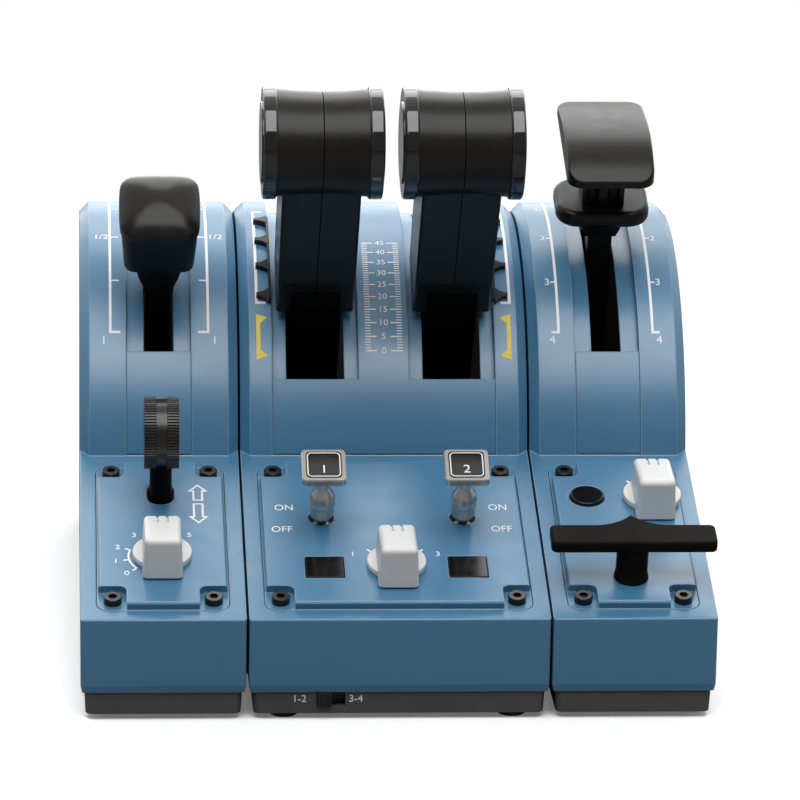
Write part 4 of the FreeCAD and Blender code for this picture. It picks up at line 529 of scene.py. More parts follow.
def slab(width: float, length: float, thick: float = INK, corner: float = 0.0) -> bpy.types.Object:
    """Thin closed block about the origin, its upper face at half its thickness.

    Args:
        width: Size along X.
        length: Size along Y.
        thick: Size along Z.
        corner: Radius of the upright corners.

    Returns:
        The new object.
    """
    clear_selection()
    bpy.ops.mesh.primitive_plane_add(size=1.0, location=(0.0, 0.0, 0.0))
    piece = bpy.context.object
    bpy.ops.object.mode_set(mode="EDIT")
    bpy.ops.mesh.select_all(action="SELECT")
    bpy.ops.transform.resize(value=(width, length, 1.0))
    if corner:
        bpy.ops.mesh.bevel(offset=corner, segments=CORNER_STEPS, affect="VERTICES")
    bpy.ops.mesh.extrude_region_move(TRANSFORM_OT_translate={"value": (0.0, 0.0, thick)})
    bpy.ops.mesh.select_all(action="SELECT")
    bpy.ops.transform.translate(value=(0.0, 0.0, -thick / 2))
    bpy.ops.mesh.normals_make_consistent(inside=False)
    bpy.ops.object.mode_set(mode="OBJECT")
    return piece


def placed_copy(master: bpy.types.Object, place: Matrix) -> bpy.types.Object:
    """Copy a piece with its own mesh, put in place.

    Args:
        master: Piece modelled about the origin.
        place: Where the copy goes.

    Returns:
        The copy.
    """
    twin = master.copy()
    twin.data = master.data.copy()
    twin.data.transform(place)
    bpy.context.collection.objects.link(twin)
    return twin


def put(piece: bpy.types.Object, place: Matrix) -> bpy.types.Object:
    """Move a piece's mesh to its place and return the piece."""
    piece.data.transform(place)
    return piece


def arc_bar(drum: Drum, across: float, width: float, start: float, end: float, thick: float = INK,
            rise: float = INK_LIFT) -> bpy.types.Object:
    """Line or bar that follows the drum between two angles.

    Args:
        drum: Surface that carries the line.
        across: X of the line's middle.
        width: Width of the line.
        start: Lower angle in degrees.
        end: Upper angle in degrees.
        thick: Thickness from back to face.
        rise: Height of its middle above the drum.

    Returns:
        The new object.
    """
    clear_selection()
    bpy.ops.mesh.primitive_plane_add(size=1.0, location=(0.0, 0.0, 0.0))
    piece = bpy.context.object
    upright = Matrix.Rotation(math.radians(90.0), 4, "X") @ Matrix.Diagonal((width, thick, 1.0, 1.0))
    put(piece, drum.at(across, start, rise) @ upright)
    bpy.ops.object.mode_set(mode="EDIT")
    bpy.ops.mesh.select_all(action="SELECT")
    bpy.ops.mesh.spin(steps=max(ARC_LEAST, round((end - start) / ARC_STEP)), angle=math.radians(end - start),
                      center=(across, drum.axis.y, drum.axis.z), axis=(1.0, 0.0, 0.0))
    bpy.ops.mesh.select_all(action="SELECT")
    bpy.ops.mesh.remove_doubles(threshold=0.001 * MM)
    bpy.ops.mesh.normals_make_consistent(inside=False)
    bpy.ops.object.mode_set(mode="OBJECT")
    return piece


def words(text: str, height: float, place: Matrix, thick: float = INK) -> bpy.types.Object:
    """Printed characters, centred on their place.

    Args:
        text: The characters.
        height: Height of a capital.
        place: Where they go.
        thick: Thickness from back to face.

    Returns:
        The new mesh object.
    """
    clear_selection()
    bpy.ops.object.text_add(location=(0.0, 0.0, 0.0))
    piece = bpy.context.object
    piece.data.body = text
    piece.data.align_x = "CENTER"
    piece.data.align_y = "CENTER"
    piece.data.size = height / CAP_SHARE
    piece.data.extrude = thick / 2
    piece.data.resolution_u = CURVE_STEPS
    bpy.ops.object.convert(target="MESH")
    return put(bpy.context.object, place)


def outline(points: list[tuple[float, float]], hole: list[tuple[float, float]], place: Matrix,
            thick: float = INK) -> bpy.types.Object:
    """Flat shape from a closed outline, with an optional hole.

    Args:
        points: Outer corners.
        hole: Corners of the hole, or an empty list.
        place: Where it goes.
        thick: Thickness from back to face.

    Returns:
        The new mesh object.
    """
    clear_selection()
    curve = bpy.data.curves.new("outline", "CURVE")
    curve.dimensions = "2D"
    curve.fill_mode = "BOTH"
    curve.extrude = thick / 2
    for corners in (points, hole):
        if corners:
            spline = curve.splines.new("POLY")
            spline.points.add(len(corners) - 1)
            for point, (x, y) in zip(spline.points, corners):
                point.co = (x, y, 0.0, 1.0)
            spline.use_cyclic_u = True
    piece = bpy.data.objects.new("outline", curve)
    bpy.context.collection.objects.link(piece)
    bpy.context.view_layer.objects.active = piece
    piece.select_set(True)
    bpy.ops.object.convert(target="MESH")
    return put(bpy.context.object, place)


def gather(name: str, pieces: list[bpy.types.Object], body: str, finish: bpy.types.Material) -> bpy.types.Object:
    """Join pieces into one object that rides on a body.

    Args:
        name: Name of the joined object.
        pieces: Objects to join.
        body: Body that carries it.
        finish: Its material.

    Returns:
        The joined object.
    """
    clear_selection()
    for piece in pieces:
        piece.select_set(True)
    bpy.context.view_layer.objects.active = pieces[0]
    if len(pieces) > 1:
        bpy.ops.object.join()
    whole = bpy.context.view_layer.objects.active
    whole.name = name
    whole.data.name = name
    whole.data.materials.clear()
    whole.data.materials.append(finish)
    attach(whole, body)
    LOG.info("%s: %d faces on %s", name, len(whole.data.polygons), body)
    return whole


def drop(master: bpy.types.Object) -> None:
    """Remove a master that was only modelled to be copied."""
    bpy.data.objects.remove(master, do_unlink=True)


# ---------------------------------------------------------------- printed scales
@dataclass
class ThrustScale:
    """Ruled scale of numbers between the thrust levers, on the centre drum."""

    drum: Drum
    ink: bpy.types.Material
    middle: float = 0.2 * MM
    half_width: float = 7.45 * MM
    start: float = 35.5
    end: float = 69.16
    top_value: int = 45
    step: int = 5
    long_tick: float = 4.7 * MM
    short_tick: float = 2.2 * MM
    long_width: float = 0.58 * MM
    short_width: float = 0.44 * MM
    figure: float = 2.75 * MM

    def angle(self, value: float) -> float:
        """Angle on the drum of a value of the scale."""
        return self.start + (self.end - self.start) * value / self.top_value

    def build(self) -> None:
        """Model the ticks and figures."""
        long_master = slab(self.long_tick, self.long_width)
        short_master = slab(self.short_tick, self.short_width)
        ticks, figures = [], []
        for value in range(self.top_value + 1):
            major = value % self.step == 0
            master, length = (long_master, self.long_tick) if major else (short_master, self.short_tick)
            for side in (-1, 1):
                x = self.middle + side * (self.half_width - length / 2)
                ticks.append(placed_copy(master, self.drum.at(x, self.angle(value))))
            if major:
                figures.append(words(str(value), self.figure, self.drum.at(self.middle, self.angle(value))))
        drop(long_master)
        drop(short_master)
        gather("thrust_scale_ticks", ticks, "base", self.ink)
        gather("thrust_scale_figures", figures, "base", self.ink)


@dataclass
class SideScale:
    """Pair of upright lines with marks and labels, on a side module's drum."""

    name: str
    drum: Drum
    ink: bpy.types.Material
    lines: tuple[float, float]
    outward: tuple[int, int]
    labels_out: tuple[int, int]
    marks: dict[float, str]
    ticks: tuple[float, ...]
    foot: float = 40.4
    top: float = 104.0
    line_width: float = 1.05 * MM
    tick: float = 3.5 * MM
    tick_width: float = 0.75 * MM
    foot_length: float = 4.6 * MM
    figure: float = 3.4 * MM
    gap: float = 0.3 * MM
    letter_share: float = 0.55
    end_label: tuple[float, str] = (38.1, "1")
    end_reach: float = 2.6 * MM

    def build(self) -> None:
        """Model the lines, their ticks and their labels."""
        tick_master = slab(self.tick, self.tick_width)
        foot_master = slab(self.foot_length, self.line_width)
        printed, figures = [], []
        for x, out, label_out in zip(self.lines, self.outward, self.labels_out):
            printed.append(arc_bar(self.drum, x, self.line_width, self.foot, self.top))
            for angle in self.ticks:
                printed.append(placed_copy(tick_master, self.drum.at(x + out * self.tick / 2, angle)))
            printed.append(placed_copy(foot_master, self.drum.at(
                x + out * (self.foot_length - self.line_width) / 2, self.foot)))
            for angle, text in self.marks.items():
                width = self.figure * self.letter_share * len(text)
                reach = self.gap + width / 2 + (self.tick if out == label_out else self.line_width / 2)
                figures.append(words(text, self.figure, self.drum.at(x + label_out * reach, angle)))
            angle, text = self.end_label
            figures.append(words(text, self.figure, self.drum.at(x + label_out * self.end_reach, angle)))
        drop(tick_master)
        drop(foot_master)
        gather(self.name + "_lines", printed, "base", self.ink)
        gather(self.name + "_figures", figures, "base", self.ink)


@dataclass
class DetentBrackets:
    """White and yellow brackets at the outer sides of the thrust tracks."""

    drum: Drum
    white: bpy.types.Material
    yellow: bpy.types.Material
    white_x: tuple[float, float] = (-50.6 * MM, 51.4 * MM)
    white_span: tuple[float, float] = (48.6, 86.5)
    yellow_x: tuple[float, float] = (-50.1 * MM, 50.6 * MM)
    yellow_span: tuple[float, float] = (34.3, 44.3)
    width: float = 1.15 * MM
    yellow_width: float = 1.6 * MM
    white_return: float = 4.2 * MM
    tooth: float = 3.6 * MM
    tooth_rise: float = 0.5
    tooth_hook: float = 0.05
    tooth_foot: float = 0.7

    def build(self) -> None:
        """Model both pairs of brackets."""
        white, yellow = [], []
        return_master = slab(self.white_return, self.width)
        for x, side in zip(self.white_x, (1, -1)):
            white.append(arc_bar(self.drum, x, self.width, *self.white_span))
            for angle in self.white_span:
                place = self.drum.at(x + side * (self.white_return - self.width) / 2, angle)
                white.append(placed_copy(return_master, place))
        drop(return_master)
        for x, side in zip(self.yellow_x, (1, -1)):
            yellow.append(arc_bar(self.drum, x, self.yellow_width, *self.yellow_span))
            back = -side * self.yellow_width / 2
            for angle, lean in zip(self.yellow_span, (-1, 1)):
                reach = lean * self.tooth
                corners = [(back, reach * self.tooth_rise), (side * self.tooth, reach * self.tooth_hook),
                           (-back, -reach * self.tooth_foot), (back, -reach * self.tooth_foot)]
                yellow.append(outline(corners, [], self.drum.at(x, angle)))
        gather("detent_brackets", white, "base", self.white)
        gather("idle_brackets", yellow, "base", self.yellow)


# ---------------------------------------------------------------- printed plates
@dataclass
class GearArrows:
    """Two hollow arrows beside the landing gear lever."""

    turn: float
    ink: bpy.types.Material
    x: float = 14.6 * MM
    head: float = 4.0 * MM
    shaft: float = 2.1 * MM
    head_length: float = 5.2 * MM
    line: float = 0.8 * MM
    up: tuple[float, float] = (78.4 * MM, 90.2 * MM)
    down: tuple[float, float] = (62.0 * MM, 76.4 * MM)

    def arrow(self, tail: float, tip: float, inset: float) -> list[tuple[float, float]]:
        """Corners of one arrow, set in from its outline.

        Args:
            tail: Station of the tail along the plate.
            tip: Station of the tip.
            inset: Distance inside the outline.

        Returns:
            The corners, relative to the plate's origin.
        """
        way = 1.0 if tip > tail else -1.0
        neck = tip - way * self.head_length
        slope = math.hypot(self.head, self.head_length) / self.head
        point = tip - way * inset * slope
        barb = self.head - 2.0 * inset
        neck += way * inset
        shaft = self.shaft - inset
        return [(self.x + x, y) for x, y in (
            (-shaft, tail + way * inset), (-shaft, neck), (-barb, neck), (0.0, point), (barb, neck), (shaft, neck),
            (shaft, tail + way * inset))]

    def build(self) -> None:
        """Model both arrows."""
        plate = Panel(Vector((joint("gear_pivot")["pos_m"][0], *panel_start())), self.turn)
        arrows = [outline(self.arrow(tail, tip, 0.0), self.arrow(tail, tip, self.line), plate.at(0.0, 0.0))
                  for tail, tip in (self.up, (self.down[1], self.down[0]))]
        gather("gear_arrows", arrows, "base", self.ink)


def panel_start() -> tuple[float, float]:
    """Find where the plates' upper plane meets the front edge of the sloped faces.

    Returns:
        Its Y and Z.
    """
    low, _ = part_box("centre_housing")
    turn = Panel.at_joint("brake_handle_turn").turn
    edge = Vector((0.0, low.y, FRONT_EDGE)) + Vector((0.0, -math.sin(turn), math.cos(turn))) * PLATE_TOP
    return edge.y, edge.z


@dataclass
class SelectorDial:
    """Arc, ticks and figures round a selector knob."""

    name: str
    plate: Panel
    ink: bpy.types.Material
    figures: dict[float, str]
    ticks: tuple[float, ...]
    arc: tuple[float, float] | None = None
    radius: float = 13.4 * MM
    tick: float = 1.9 * MM
    line: float = 0.75 * MM
    height: float = 3.0 * MM
    reach: float = 18.2 * MM
    steps: int = 16

    def build(self) -> None:
        """Model the dial's print."""
        tick_master = slab(self.tick, self.line)
        printed, figures = [], []
        for angle in self.ticks:
            place = self.plate.at(0.0, 0.0, angle) @ Matrix.Translation((self.radius + self.tick / 2, 0.0, 0.0))
            printed.append(placed_copy(tick_master, place))
        if self.arc:
            start, end = self.arc
            turns = [math.radians(start + (end - start) * k / self.steps) for k in range(self.steps + 1)]
            outer = [(self.radius * math.cos(a), self.radius * math.sin(a)) for a in turns]
            inner = [((self.radius - self.line) * math.cos(a), (self.radius - self.line) * math.sin(a)) for a in turns]
            printed.append(outline(outer + inner[::-1], [], self.plate.at(0.0, 0.0)))
        drop(tick_master)
        for angle, text in self.figures.items():
            turn = math.radians(angle)
            figures.append(words(text, self.height, self.plate.at(self.reach * math.cos(turn),
                                                                  self.reach * math.sin(turn))))
        if printed:
            gather(self.name + "_dial", printed, "base", self.ink)
        if figures:
            gather(self.name + "_figures", figures, "base", self.ink)


@dataclass
class ToggleLabels:
    """ON and OFF beside each toggle."""

    ink: bpy.types.Material
    turn: float
    on: tuple[float, float] = (-41.9 * MM, 42.0 * MM)
    off: tuple[float, float] = (-43.2 * MM, 42.5 * MM)
    on_along: float = 73.1 * MM
    off_along: float = 57.6 * MM
    height: float = 4.1 * MM
    narrow: float = 0.82

    def build(self) -> None:
        """Model the four labels."""
        plate = Panel(Vector((0.0, *panel_start())), self.turn)
        squeeze = Matrix.Diagonal((self.narrow, 1.0, 1.0, 1.0))
        labels = [words(text, self.height, plate.at(x, along) @ squeeze)
                  for text, places, along in (("ON", self.on, self.on_along), ("OFF", self.off, self.off_along))
                  for x in places]
        gather("toggle_labels", labels, "base", self.ink)


@dataclass
class ToggleFace:
    """Black enamel inlay on a toggle's head, with a white frame line and a figure."""

    side: str
    figure: str
    enamel: bpy.types.Material
    ink: bpy.types.Material
    lean: float = 13.5
    rise: float = 36.3 * MM
    size: float = 13.9 * MM
    corner: float = 1.8 * MM
    thick: float = 0.35 * MM
    frame_inset: float = 0.5 * MM
    line: float = 0.42 * MM
    height: float = 4.2 * MM
    drop: float = 2.6 * MM

    def build(self) -> None:
        """Model the inlay, its frame line and its figure."""
        body = self.side + "_toggle"
        face = Panel.at_joint(body + "_pivot", self.rise, self.lean)
        inlay = put(slab(self.size, self.size, self.thick, self.corner), face.at(0.0, 0.0))
        gather(self.side + "_toggle_inlay", [inlay], body, self.enamel)
        top = Panel(face.origin + Vector((0.0, -math.sin(face.turn), math.cos(face.turn))) * self.thick / 2, face.turn)
        half = self.size / 2 - self.frame_inset
        frame_line = outline(self.rounded(half, self.corner), self.rounded(half - self.line, self.corner - self.line),
                             top.at(0.0, 0.0))
        figure = words(self.figure, self.height, top.at(0.0, -self.drop))
        gather(self.side + "_toggle_print", [frame_line, figure], body, self.ink)

    @staticmethod
    def rounded(half: float, corner: float) -> list[tuple[float, float]]:
        """Corners of a rounded square.

        Args:
            half: Half its side.
            corner: Radius of its corners.

        Returns:
            The points in order.
        """
        points = []
        for quarter, (sx, sy) in enumerate(((1, 1), (-1, 1), (-1, -1), (1, -1))):
            for k in range(CORNER_STEPS + 1):
                turn = math.radians(90.0 * (quarter + k / CORNER_STEPS))
                points.append((sx * (half - corner) + corner * math.cos(turn),
                               sy * (half - corner) + corner * math.sin(turn)))
        return points


@dataclass
class SlideSwitchLabels:
    """Figures at both ends of the slide switch in the front of the centre tray."""

    ink: bpy.types.Material
    left_x: float = -38.1 * MM
    right_x: float = -16.5 * MM
    height: float = 2.9 * MM
    thick: float = 0.3 * MM
    sunk: float = 0.14 * MM

    def build(self) -> None:
        """Model both labels."""
        low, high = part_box("slide_switch_knob")
        tray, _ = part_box("centre_base_tray")
        place = Matrix.Rotation(math.radians(90.0), 4, "X")
        labels = []
        for text, x in (("1-2", self.left_x), ("3-4", self.right_x)):
            seat = Matrix.Translation((x, tray.y + self.sunk, (low.z + high.z) / 2))
            labels.append(words(text, self.height, seat @ place, self.thick))
        gather("slide_switch_labels", labels, "base", self.ink)


# ---------------------------------------------------------------- shaped pieces
@dataclass
class DetentCombs:
    """Clawed combs at the outer sides of the thrust tracks."""

    drum: Drum
    finish: bpy.types.Material
    claws: int = 4
    first: float = 50.3
    pitch: float = 9.4
    inner: float = 44.75 * MM
    spine: float = 1.0 * MM
    height: float = 2.3 * MM
    root: float = 3.7 * MM
    tip: float = 0.85 * MM
    curl: float = 2.2
    overrun: float = 1.2
    steps: int = 8

    def claw(self, side: int, reach: float) -> list[tuple[float, float]]:
        """Outline of a thorn-shaped claw, from its root at the spine.

        Args:
            side: 1 on the right and -1 on the left.
            reach: Length of the claw.

        Returns:
            The corners.
        """
        edge = [(side * reach * k / self.steps, self.tip + (self.root - self.tip) * (1 - k / self.steps) ** self.curl)
                for k in range(self.steps + 1)]
        return edge + [(x, -y) for x, y in reversed(edge)]

    def build(self) -> None:
        """Model both combs in place of the plain ones."""
        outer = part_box("detent_combs")[1].x
        last = self.first + self.pitch * (self.claws - 1)
        lift = self.height / 2 + INK_LIFT
        pieces = []
        for side in (-1, 1):
            middle = side * (self.inner + self.spine / 2)
            pieces.append(arc_bar(self.drum, middle, self.spine, self.first - self.overrun, last + self.overrun,
                                  self.height, lift))
            claw = outline(self.claw(side, outer - self.inner - self.spine / 2), [], Matrix(), self.height)
            for k in range(self.claws):
                pieces.append(placed_copy(claw, self.drum.at(middle, self.first + self.pitch * k, lift)))
            drop(claw)
        combs = gather("detent_comb_claws", pieces, "base", self.finish)
        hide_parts("detent_combs")


@dataclass
class BrakeCap:
    """Pillow-shaped cap on the speed brake lever."""

    drum: Drum
    finish: bpy.types.Material
    angle: float = 55.5
    rise: float = 41.8 * MM
    width: float = 32.2 * MM
    front: float = 17.2 * MM
    rear: float = 15.4 * MM
    edge: float = 3.9 * MM
    crown: float = 6.0 * MM
    corner: float = 7.4 * MM
    rings: tuple[tuple[float, float], ...] = ((0.40, 0.84), (0.28, 0.76), (0.22, 0.55), (0.10, 0.42))
    crease: float = 0.75
    corner_steps: int = 3
    levels: int = 3
    smooth: float = 50.0

    def build(self) -> None:
        """Model the cap in place of the plain one."""
        clear_selection()
        bpy.ops.mesh.primitive_cube_add(size=1.0, location=(0.0, 0.0, 0.0))
        cap = bpy.context.object
        bpy.ops.object.mode_set(mode="EDIT")
        bpy.ops.mesh.select_all(action="SELECT")
        bpy.ops.transform.resize(value=(self.width, self.front + self.rear, self.edge))
        bpy.ops.transform.translate(value=(0.0, (self.rear - self.front) / 2, self.edge / 2))
        self.choose(cap, Pick.EDGE, lambda middle, span: span.z > self.edge / 2)
        bpy.ops.mesh.bevel(offset=self.corner, segments=self.corner_steps, affect="EDGES")
        for share, shrink in self.rings:
            self.choose(cap, Pick.FACE, lambda middle, span: middle.z > self.highest(cap) - NEAR)
            bpy.ops.mesh.extrude_region_move(TRANSFORM_OT_translate={"value": (0.0, 0.0, self.crown * share)})
            bpy.ops.transform.resize(value=(shrink, shrink, 1.0))
        self.choose(cap, Pick.EDGE, lambda middle, span: middle.z < NEAR)
        bpy.ops.transform.edge_crease(value=1.0)
        self.choose(cap, Pick.EDGE, lambda middle, span: abs(middle.z - self.edge) < NEAR)
        bpy.ops.transform.edge_crease(value=self.crease)
        bpy.ops.object.mode_set(mode="OBJECT")
        bpy.ops.object.modifier_add(type="SUBSURF")
        cap.modifiers[-1].levels = cap.modifiers[-1].render_levels = self.levels
        bpy.ops.object.modifier_apply(modifier=cap.modifiers[-1].name)
        bpy.ops.object.shade_smooth_by_angle(angle=math.radians(self.smooth))
        low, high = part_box("speed_brake_cap")
        put(cap, self.drum.at((low.x + high.x) / 2, self.angle, self.rise))
        gather("speed_brake_pillow", [cap], "speed_brake_lever", self.finish)
        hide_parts("speed_brake_cap")

    @staticmethod
    def highest(piece: bpy.types.Object) -> float:
        """Height of a piece's highest vertex, in edit mode."""
        return max(vertex.co.z for vertex in bmesh.from_edit_mesh(piece.data).verts)

    @staticmethod
    def choose(piece: bpy.types.Object, kind: Pick, wanted: Callable[[Vector, Vector], bool]) -> None:
        """Select the edges or faces that a rule wants, in edit mode.

        Args:
            piece: Object in edit mode.
            kind: What to pick.
            wanted: Rule on an element's middle and its extent.
        """
        bpy.ops.mesh.select_mode(type=kind.value)
        bpy.ops.mesh.select_all(action="DESELECT")
        mesh = bmesh.from_edit_mesh(piece.data)
        for element in (mesh.edges if kind is Pick.EDGE else mesh.faces):
            points = [vertex.co for vertex in element.verts]
            low = Vector([min(point[k] for point in points) for k in range(3)])
            high = Vector([max(point[k] for point in points) for k in range(3)])
            element.select_set(wanted((low + high) / 2, high - low))
        mesh.select_flush_mode()
        bmesh.update_edit_mesh(piece.data)


# ---------------------------------------------------------------- finishes on the frame's nodes
@dataclass
class Wardrobe:
    """Every finish of the quadrant, and the nodes that wear it."""

    axis: Vector
    module_width: dict[str, tuple[float, float]] = field(default_factory=dict)

    def __post_init__(self) -> None:
        """Read the modules' places from their housings."""
        for side in ("left", "centre", "right"):
            low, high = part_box(side + "_housing")
            self.module_width[side] = ((low.x + high.x) / 2, (high.x - low.x) / 2)
        self.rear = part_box("centre_housing")[1].y

    def cavity(self, side: str, radius: float, wall: float, bevel: float = 0.0) -> Cavity:
        """Painted shade inside one module.

        Args:
            side: Module's name.
            radius: Reach of the painted shade from the drum's axis.
            wall: Margin to the module's sides and rear.
            bevel: Bevel at the drum's side edges.

        Returns:
            The cavity.
        """
        middle, half = self.module_width[side]
        return Cavity((self.axis.y, self.axis.z), radius, middle, half - wall, bevel, self.rear - wall)

    def by_slot(self) -> dict[str, bpy.types.Material]:
        """Finish of each material slot of the record.

        Returns:
            The materials by slot.
        """
        black, soft = (0.0080, 0.0068, 0.0062), (0.0110, 0.0098, 0.0090)
        plain = {
            "housing_paint": PowderCoat("panel_paint"),
            "tray_plastic": Moulding("tray_grey", (0.074, 0.073, 0.073), (0.090, 0.089, 0.089), (0.42, 0.55)),
            "black_screw_steel": Moulding("black_oxide", black, soft, (0.20, 0.28), 1200.0, 0.004 * MM, 0.25 * MM,
                                          shine=0.35),
            "foot_rubber": Moulding("foot_rubber", (0.012, 0.012, 0.012), (0.020, 0.020, 0.020), (0.70, 0.85),
                                    1500.0, 0.05 * MM),
            "zinc_steel": Metal("bright_zinc", (0.42, 0.43, 0.45), (0.55, 0.56, 0.58), (0.25, 0.40)),
            # Painted shade: the brackets and friction collars sit inside the modules and are coloured near black.
            "cast_bracket": Metal("cast_alloy_painted_shade", (0.012, 0.012, 0.013), (0.020, 0.020, 0.021), (0.45, 0.6)),
            "friction_nylon": Moulding("friction_nylon", (0.012, 0.012, 0.012), (0.018, 0.018, 0.018), (0.5, 0.6)),
            "black_satin": Moulding("grip_black", black, soft, (0.27, 0.35), 3800.0, 0.018 * MM, shine=0.26),
            "black_gloss": Moulding("ring_black", (0.0045, 0.0045, 0.0050), (0.0060, 0.0060, 0.0065),
                                    (0.07, 0.11), 300.0, 0.002 * MM, 0.35 * MM, 0.6),
            "switch_body_plastic": Moulding("switch_black", black, soft, (0.40, 0.50)),
            "board_green": CircuitBoard(),
            "white_knob": Moulding("knob_white", (0.70, 0.70, 0.69), (0.73, 0.73, 0.72), (0.32, 0.42), 1800.0,
                                   0.008 * MM, 0.4 * MM),
            "wheel_plastic": Moulding("wheel_black", black, soft, (0.22, 0.34), 2500.0, 0.015 * MM, 0.12 * MM),
            "toggle_metal": Metal("satin_nickel", (0.55, 0.50, 0.45), (0.59, 0.54, 0.49), (0.30, 0.36), 0.0),
            "button_plastic": Moulding("button_black", (0.004, 0.004, 0.0045), (0.006, 0.006, 0.0065),
                                       (0.10, 0.16), 300.0, 0.002 * MM, shine=0.3),
            "handle_black": Moulding("handle_black", black, soft, (0.26, 0.36), 2600.0, 0.014 * MM, 0.5 * MM,
                                     shine=0.015),
        }
        return {slot: finish.material() for slot, finish in plain.items()}

    def dress(self) -> dict[str, bpy.types.Material]:
        """Give every CAD node its finish.

        Returns:
            The materials by slot.
        """
        finishes = self.by_slot()
        slots = {part["node"]: part["material_slot"] for part in frame["record"]["subparts"]}
        for node, piece in frame["nodes"].items():
            finish = finishes[slots[node]]
            side = node.split("_")[0]
            # The insides of the housings and track inserts get painted shade.
            if node.endswith("_housing"):
                finish = PowderCoat(side + "_housing_paint",
                                    cavity=self.cavity(side, DRUM_RADIUS - HOUSING_WALL / 2, HOUSING_WALL / 2,
                                                       DRUM_BEVEL)).material()
            elif node.endswith("_track_insert"):
                # The track inserts get no painted edge highlight.
                finish = PowderCoat(side + "_track_paint", edge_gain=0.0,
                                    cavity=self.cavity(side, CHANNEL_FLOOR - CHANNEL_MARGIN, 0.0)).material()
            piece.data.materials.clear()
            piece.data.materials.append(finish)
            LOG.info("%s: %s", node, finish.name)
        return finishes


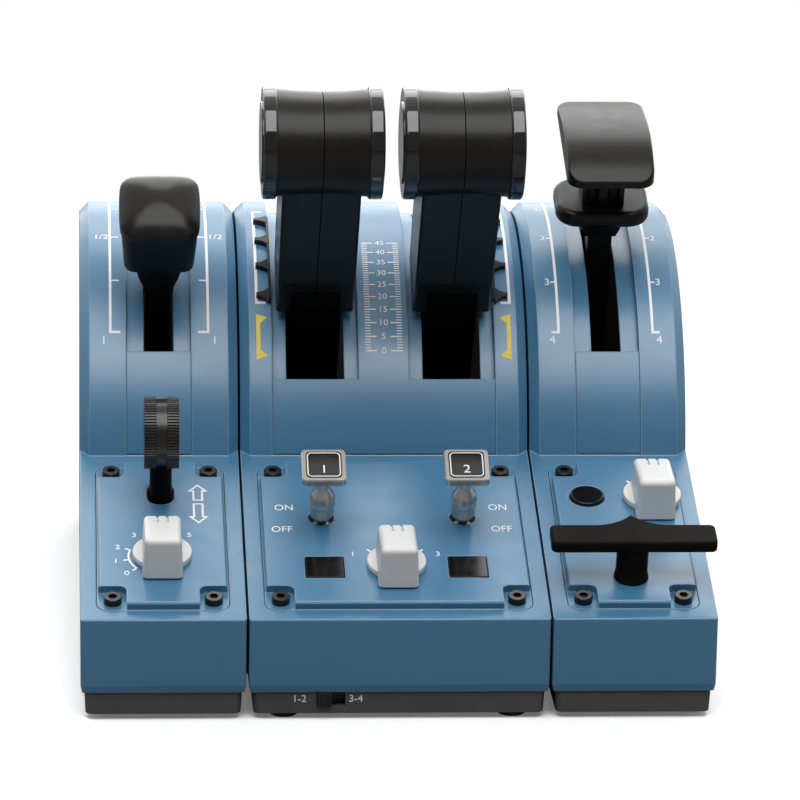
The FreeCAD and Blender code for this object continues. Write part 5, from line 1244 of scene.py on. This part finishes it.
# ---------------------------------------------------------------- studio
@dataclass
class Studio:
    """White floor, soft boxes in front and behind, sky and camera."""

    floor_size: float = 9.0
    white_from: float = 0.30
    white_to: float = 0.75
    lift: float = 0.14
    floor_tones: tuple[Colour, Colour] = ((0.21, 0.21, 0.21), (0.23, 0.23, 0.23))
    aim: Triple = (0.0, 0.0, 0.08)
    key_power: float = 13.5
    key_size: tuple[float, float] = (1.10, 0.90)
    key_place: Triple = (0.0, -0.60, 1.13)
    strip_power: float = 6.0
    strip_size: tuple[float, float] = (1.30, 0.60)
    strip_place: Triple = (0.0, 0.86, 1.10)
    sky_front: float = 0.04
    sky_back: float = 1.5
    sky_span: tuple[float, float] = (-0.45, 0.95)
    horizon: float = 1.7
    horizon_span: tuple[float, float] = (0.78, 0.97)
    glossy_share: float = 0.18
    camera_place: Triple = (-0.1261, -1.9593, 0.6512)
    camera_turn: Triple = (3.895, 15.976, -1.052)
    lens: float = 228.13
    sensor: float = 36.0
    nearest: float = 0.05

    def build(self) -> None:
        """Set up floor, lamps, sky and camera."""
        self.floor()
        self.lamp("key_box", self.key_place, self.key_size, self.key_power)
        self.lamp("strip_box", self.strip_place, self.strip_size, self.strip_power)
        self.sky()
        self.camera()
        bpy.context.scene.view_settings.view_transform = "Standard"
        LOG.info("studio ready")

    def floor(self) -> None:
        """Floor that is white to the camera, keeps the shadow and reflects little light up."""
        clear_selection()
        bpy.ops.mesh.primitive_plane_add(size=self.floor_size, location=(0.0, 0.0, 0.0))
        plane = bpy.context.object
        plane.name = "studio_floor"
        canvas = NodeCanvas("studio_floor")
        seen = canvas.nodes.new("ShaderNodeLightPath").outputs["Is Camera Ray"]
        grain = canvas.blend(canvas.span(canvas.noise(3.0), 0.0, 1.0), *self.floor_tones)
        length = canvas.nodes.new("ShaderNodeVectorMath")
        length.operation = "LENGTH"
        canvas.links.new(canvas.place, length.inputs[0])
        far = canvas.span(length.outputs["Value"], 0.0, 1.0, self.white_from, self.white_to)
        near_white = canvas.blend(far, (1.0, 1.0, 1.0), (0.0, 0.0, 0.0))
        canvas.link(canvas.blend(seen, grain, near_white), "Base Color")
        glow = canvas.math("ADD", canvas.math("MULTIPLY", far, 1.0 - self.lift), self.lift)
        canvas.link(canvas.math("MULTIPLY", seen, glow), "Emission Strength")
        canvas.constant(Emission_Color=(1.0, 1.0, 1.0), Roughness=0.9, Specular_IOR_Level=0.0)
        plane.data.materials.append(canvas.material)

    def lamp(self, name: str, place: Triple, size: tuple[float, float], power: float) -> None:
        """Rectangular soft box aimed at the middle of the object.

        Args:
            name: Lamp's name.
            place: Where it stands.
            size: Its width and height.
            power: Its power in watts.
        """
        light = bpy.data.lights.new(name, "AREA")
        light.shape = "RECTANGLE"
        light.size, light.size_y = size
        light.energy = power
        lamp = bpy.data.objects.new(name, light)
        bpy.context.collection.objects.link(lamp)
        lamp.location = place
        lamp.rotation_euler = (Vector(self.aim) - Vector(place)).to_track_quat("-Z", "Y").to_euler()

    def sky(self) -> None:
        """Sky that is white to the camera; to the object it is bright behind and dim in front."""
        world = bpy.data.worlds.new("studio_sky")
        bpy.context.scene.world = world
        world.use_nodes = True
        tools = NodeTools(world.node_tree)
        split = tools.nodes.new("ShaderNodeSeparateXYZ")
        tools.links.new(tools.nodes.new("ShaderNodeTexCoord").outputs["Generated"], split.inputs[0])
        back = split.outputs["Y"]
        glow = tools.math("ADD", tools.span(back, self.sky_front, self.sky_back, *self.sky_span),
                          tools.span(back, 0.0, self.horizon, *self.horizon_span))
        path = tools.nodes.new("ShaderNodeLightPath").outputs
        mirrored = tools.math("MULTIPLY", path["Is Glossy Ray"], self.glossy_share)
        shown = tools.math("MAXIMUM", path["Is Camera Ray"], tools.math("ADD", mirrored, path["Is Transmission Ray"]))
        mix = tools.nodes.new("ShaderNodeMix")
        tools.links.new(shown, mix.inputs[0])
        tools.links.new(glow, mix.inputs[2])
        mix.inputs[3].default_value = 1.0
        background = tools.nodes["Background"]
        tools.links.new(mix.outputs[0], background.inputs["Strength"])
        background.inputs["Color"].default_value = (1.0, 1.0, 1.0, 1.0)

    def camera(self) -> None:
        """Camera with its yaw, pitch and roll."""
        yaw, pitch, roll = (math.radians(angle) for angle in self.camera_turn)
        ahead = Vector((math.sin(yaw) * math.cos(pitch), math.cos(yaw) * math.cos(pitch), -math.sin(pitch)))
        right = Vector((math.cos(yaw), -math.sin(yaw), 0.0))
        down = ahead.cross(right)
        side = right * math.cos(roll) + down * math.sin(roll)
        up = right * math.sin(roll) - down * math.cos(roll)
        place = Matrix((side, up, -ahead)).transposed().to_4x4()
        place.translation = Vector(self.camera_place)
        data = bpy.data.cameras.new("studio_camera")
        data.lens = self.lens
        data.sensor_width = self.sensor
        data.clip_start = self.nearest
        camera = bpy.data.objects.new("studio_camera", data)
        bpy.context.collection.objects.link(camera)
        camera.matrix_world = place
        bpy.context.scene.camera = camera


# ---------------------------------------------------------------- whole scene
def main() -> None:
    """Dress the frame, print its scales and light it."""
    logging.basicConfig(level=logging.INFO, format="%(name)s %(message)s")
    axis = Vector(joint("left_thrust_pivot")["pos_m"])
    drum = Drum(axis)
    finishes = Wardrobe(axis).dress()
    white = PrintedInk(Ink.WHITE.value, (0.88, 0.89, 0.90), (0.78, 0.81, 0.84)).material()
    yellow = PrintedInk(Ink.YELLOW.value, (0.86, 0.66, 0.04), (0.74, 0.56, 0.05)).material()
    turn = Panel.at_joint("brake_handle_turn").turn
    ThrustScale(drum, white).build()
    SideScale("speed_brake", drum, white, (-109.3 * MM, -70.2 * MM), (1, -1), (-1, 1),
              {71.7: "1/2"}, (88.9, 71.7, 55.4)).build()
    SideScale("flaps", drum, white, (70.7 * MM, 108.7 * MM), (-1, 1), (-1, 1),
              {88.9: "1", 71.5: "2", 55.0: "3"}, (88.9, 71.5, 55.0), tick=2.3 * MM, foot_length=3.4 * MM,
              end_label=(38.3, "4")).build()
    DetentBrackets(drum, white, yellow).build()
    DetentCombs(drum, finishes["black_satin"]).build()
    BrakeCap(drum, finishes["black_satin"]).build()
    GearArrows(turn, white).build()
    SelectorDial("left_selector", Panel.at_joint("left_selector_turn"), white,
                 {221.0: "0", 191.0: "1", 160.0: "2", 126.0: "3", 54.0: "5"}, (221.0, 191.0, 160.0),
                 (160.0, 221.0)).build()
    SelectorDial("centre_selector", Panel.at_joint("centre_selector_turn"), white,
                 {155.0: "1", 25.0: "3"}, (135.0, 45.0)).build()
    SelectorDial("right_selector", Panel.at_joint("right_selector_turn"), white, {}, (125.0, 90.0, 55.0)).build()
    ToggleLabels(white, turn).build()
    for side, figure in (("left", "1"), ("right", "2")):
        ToggleFace(side, figure, finishes["black_gloss"], white).build()
    SlideSwitchLabels(white).build()
    Studio().build()


if __name__ == "__main__":
    main()
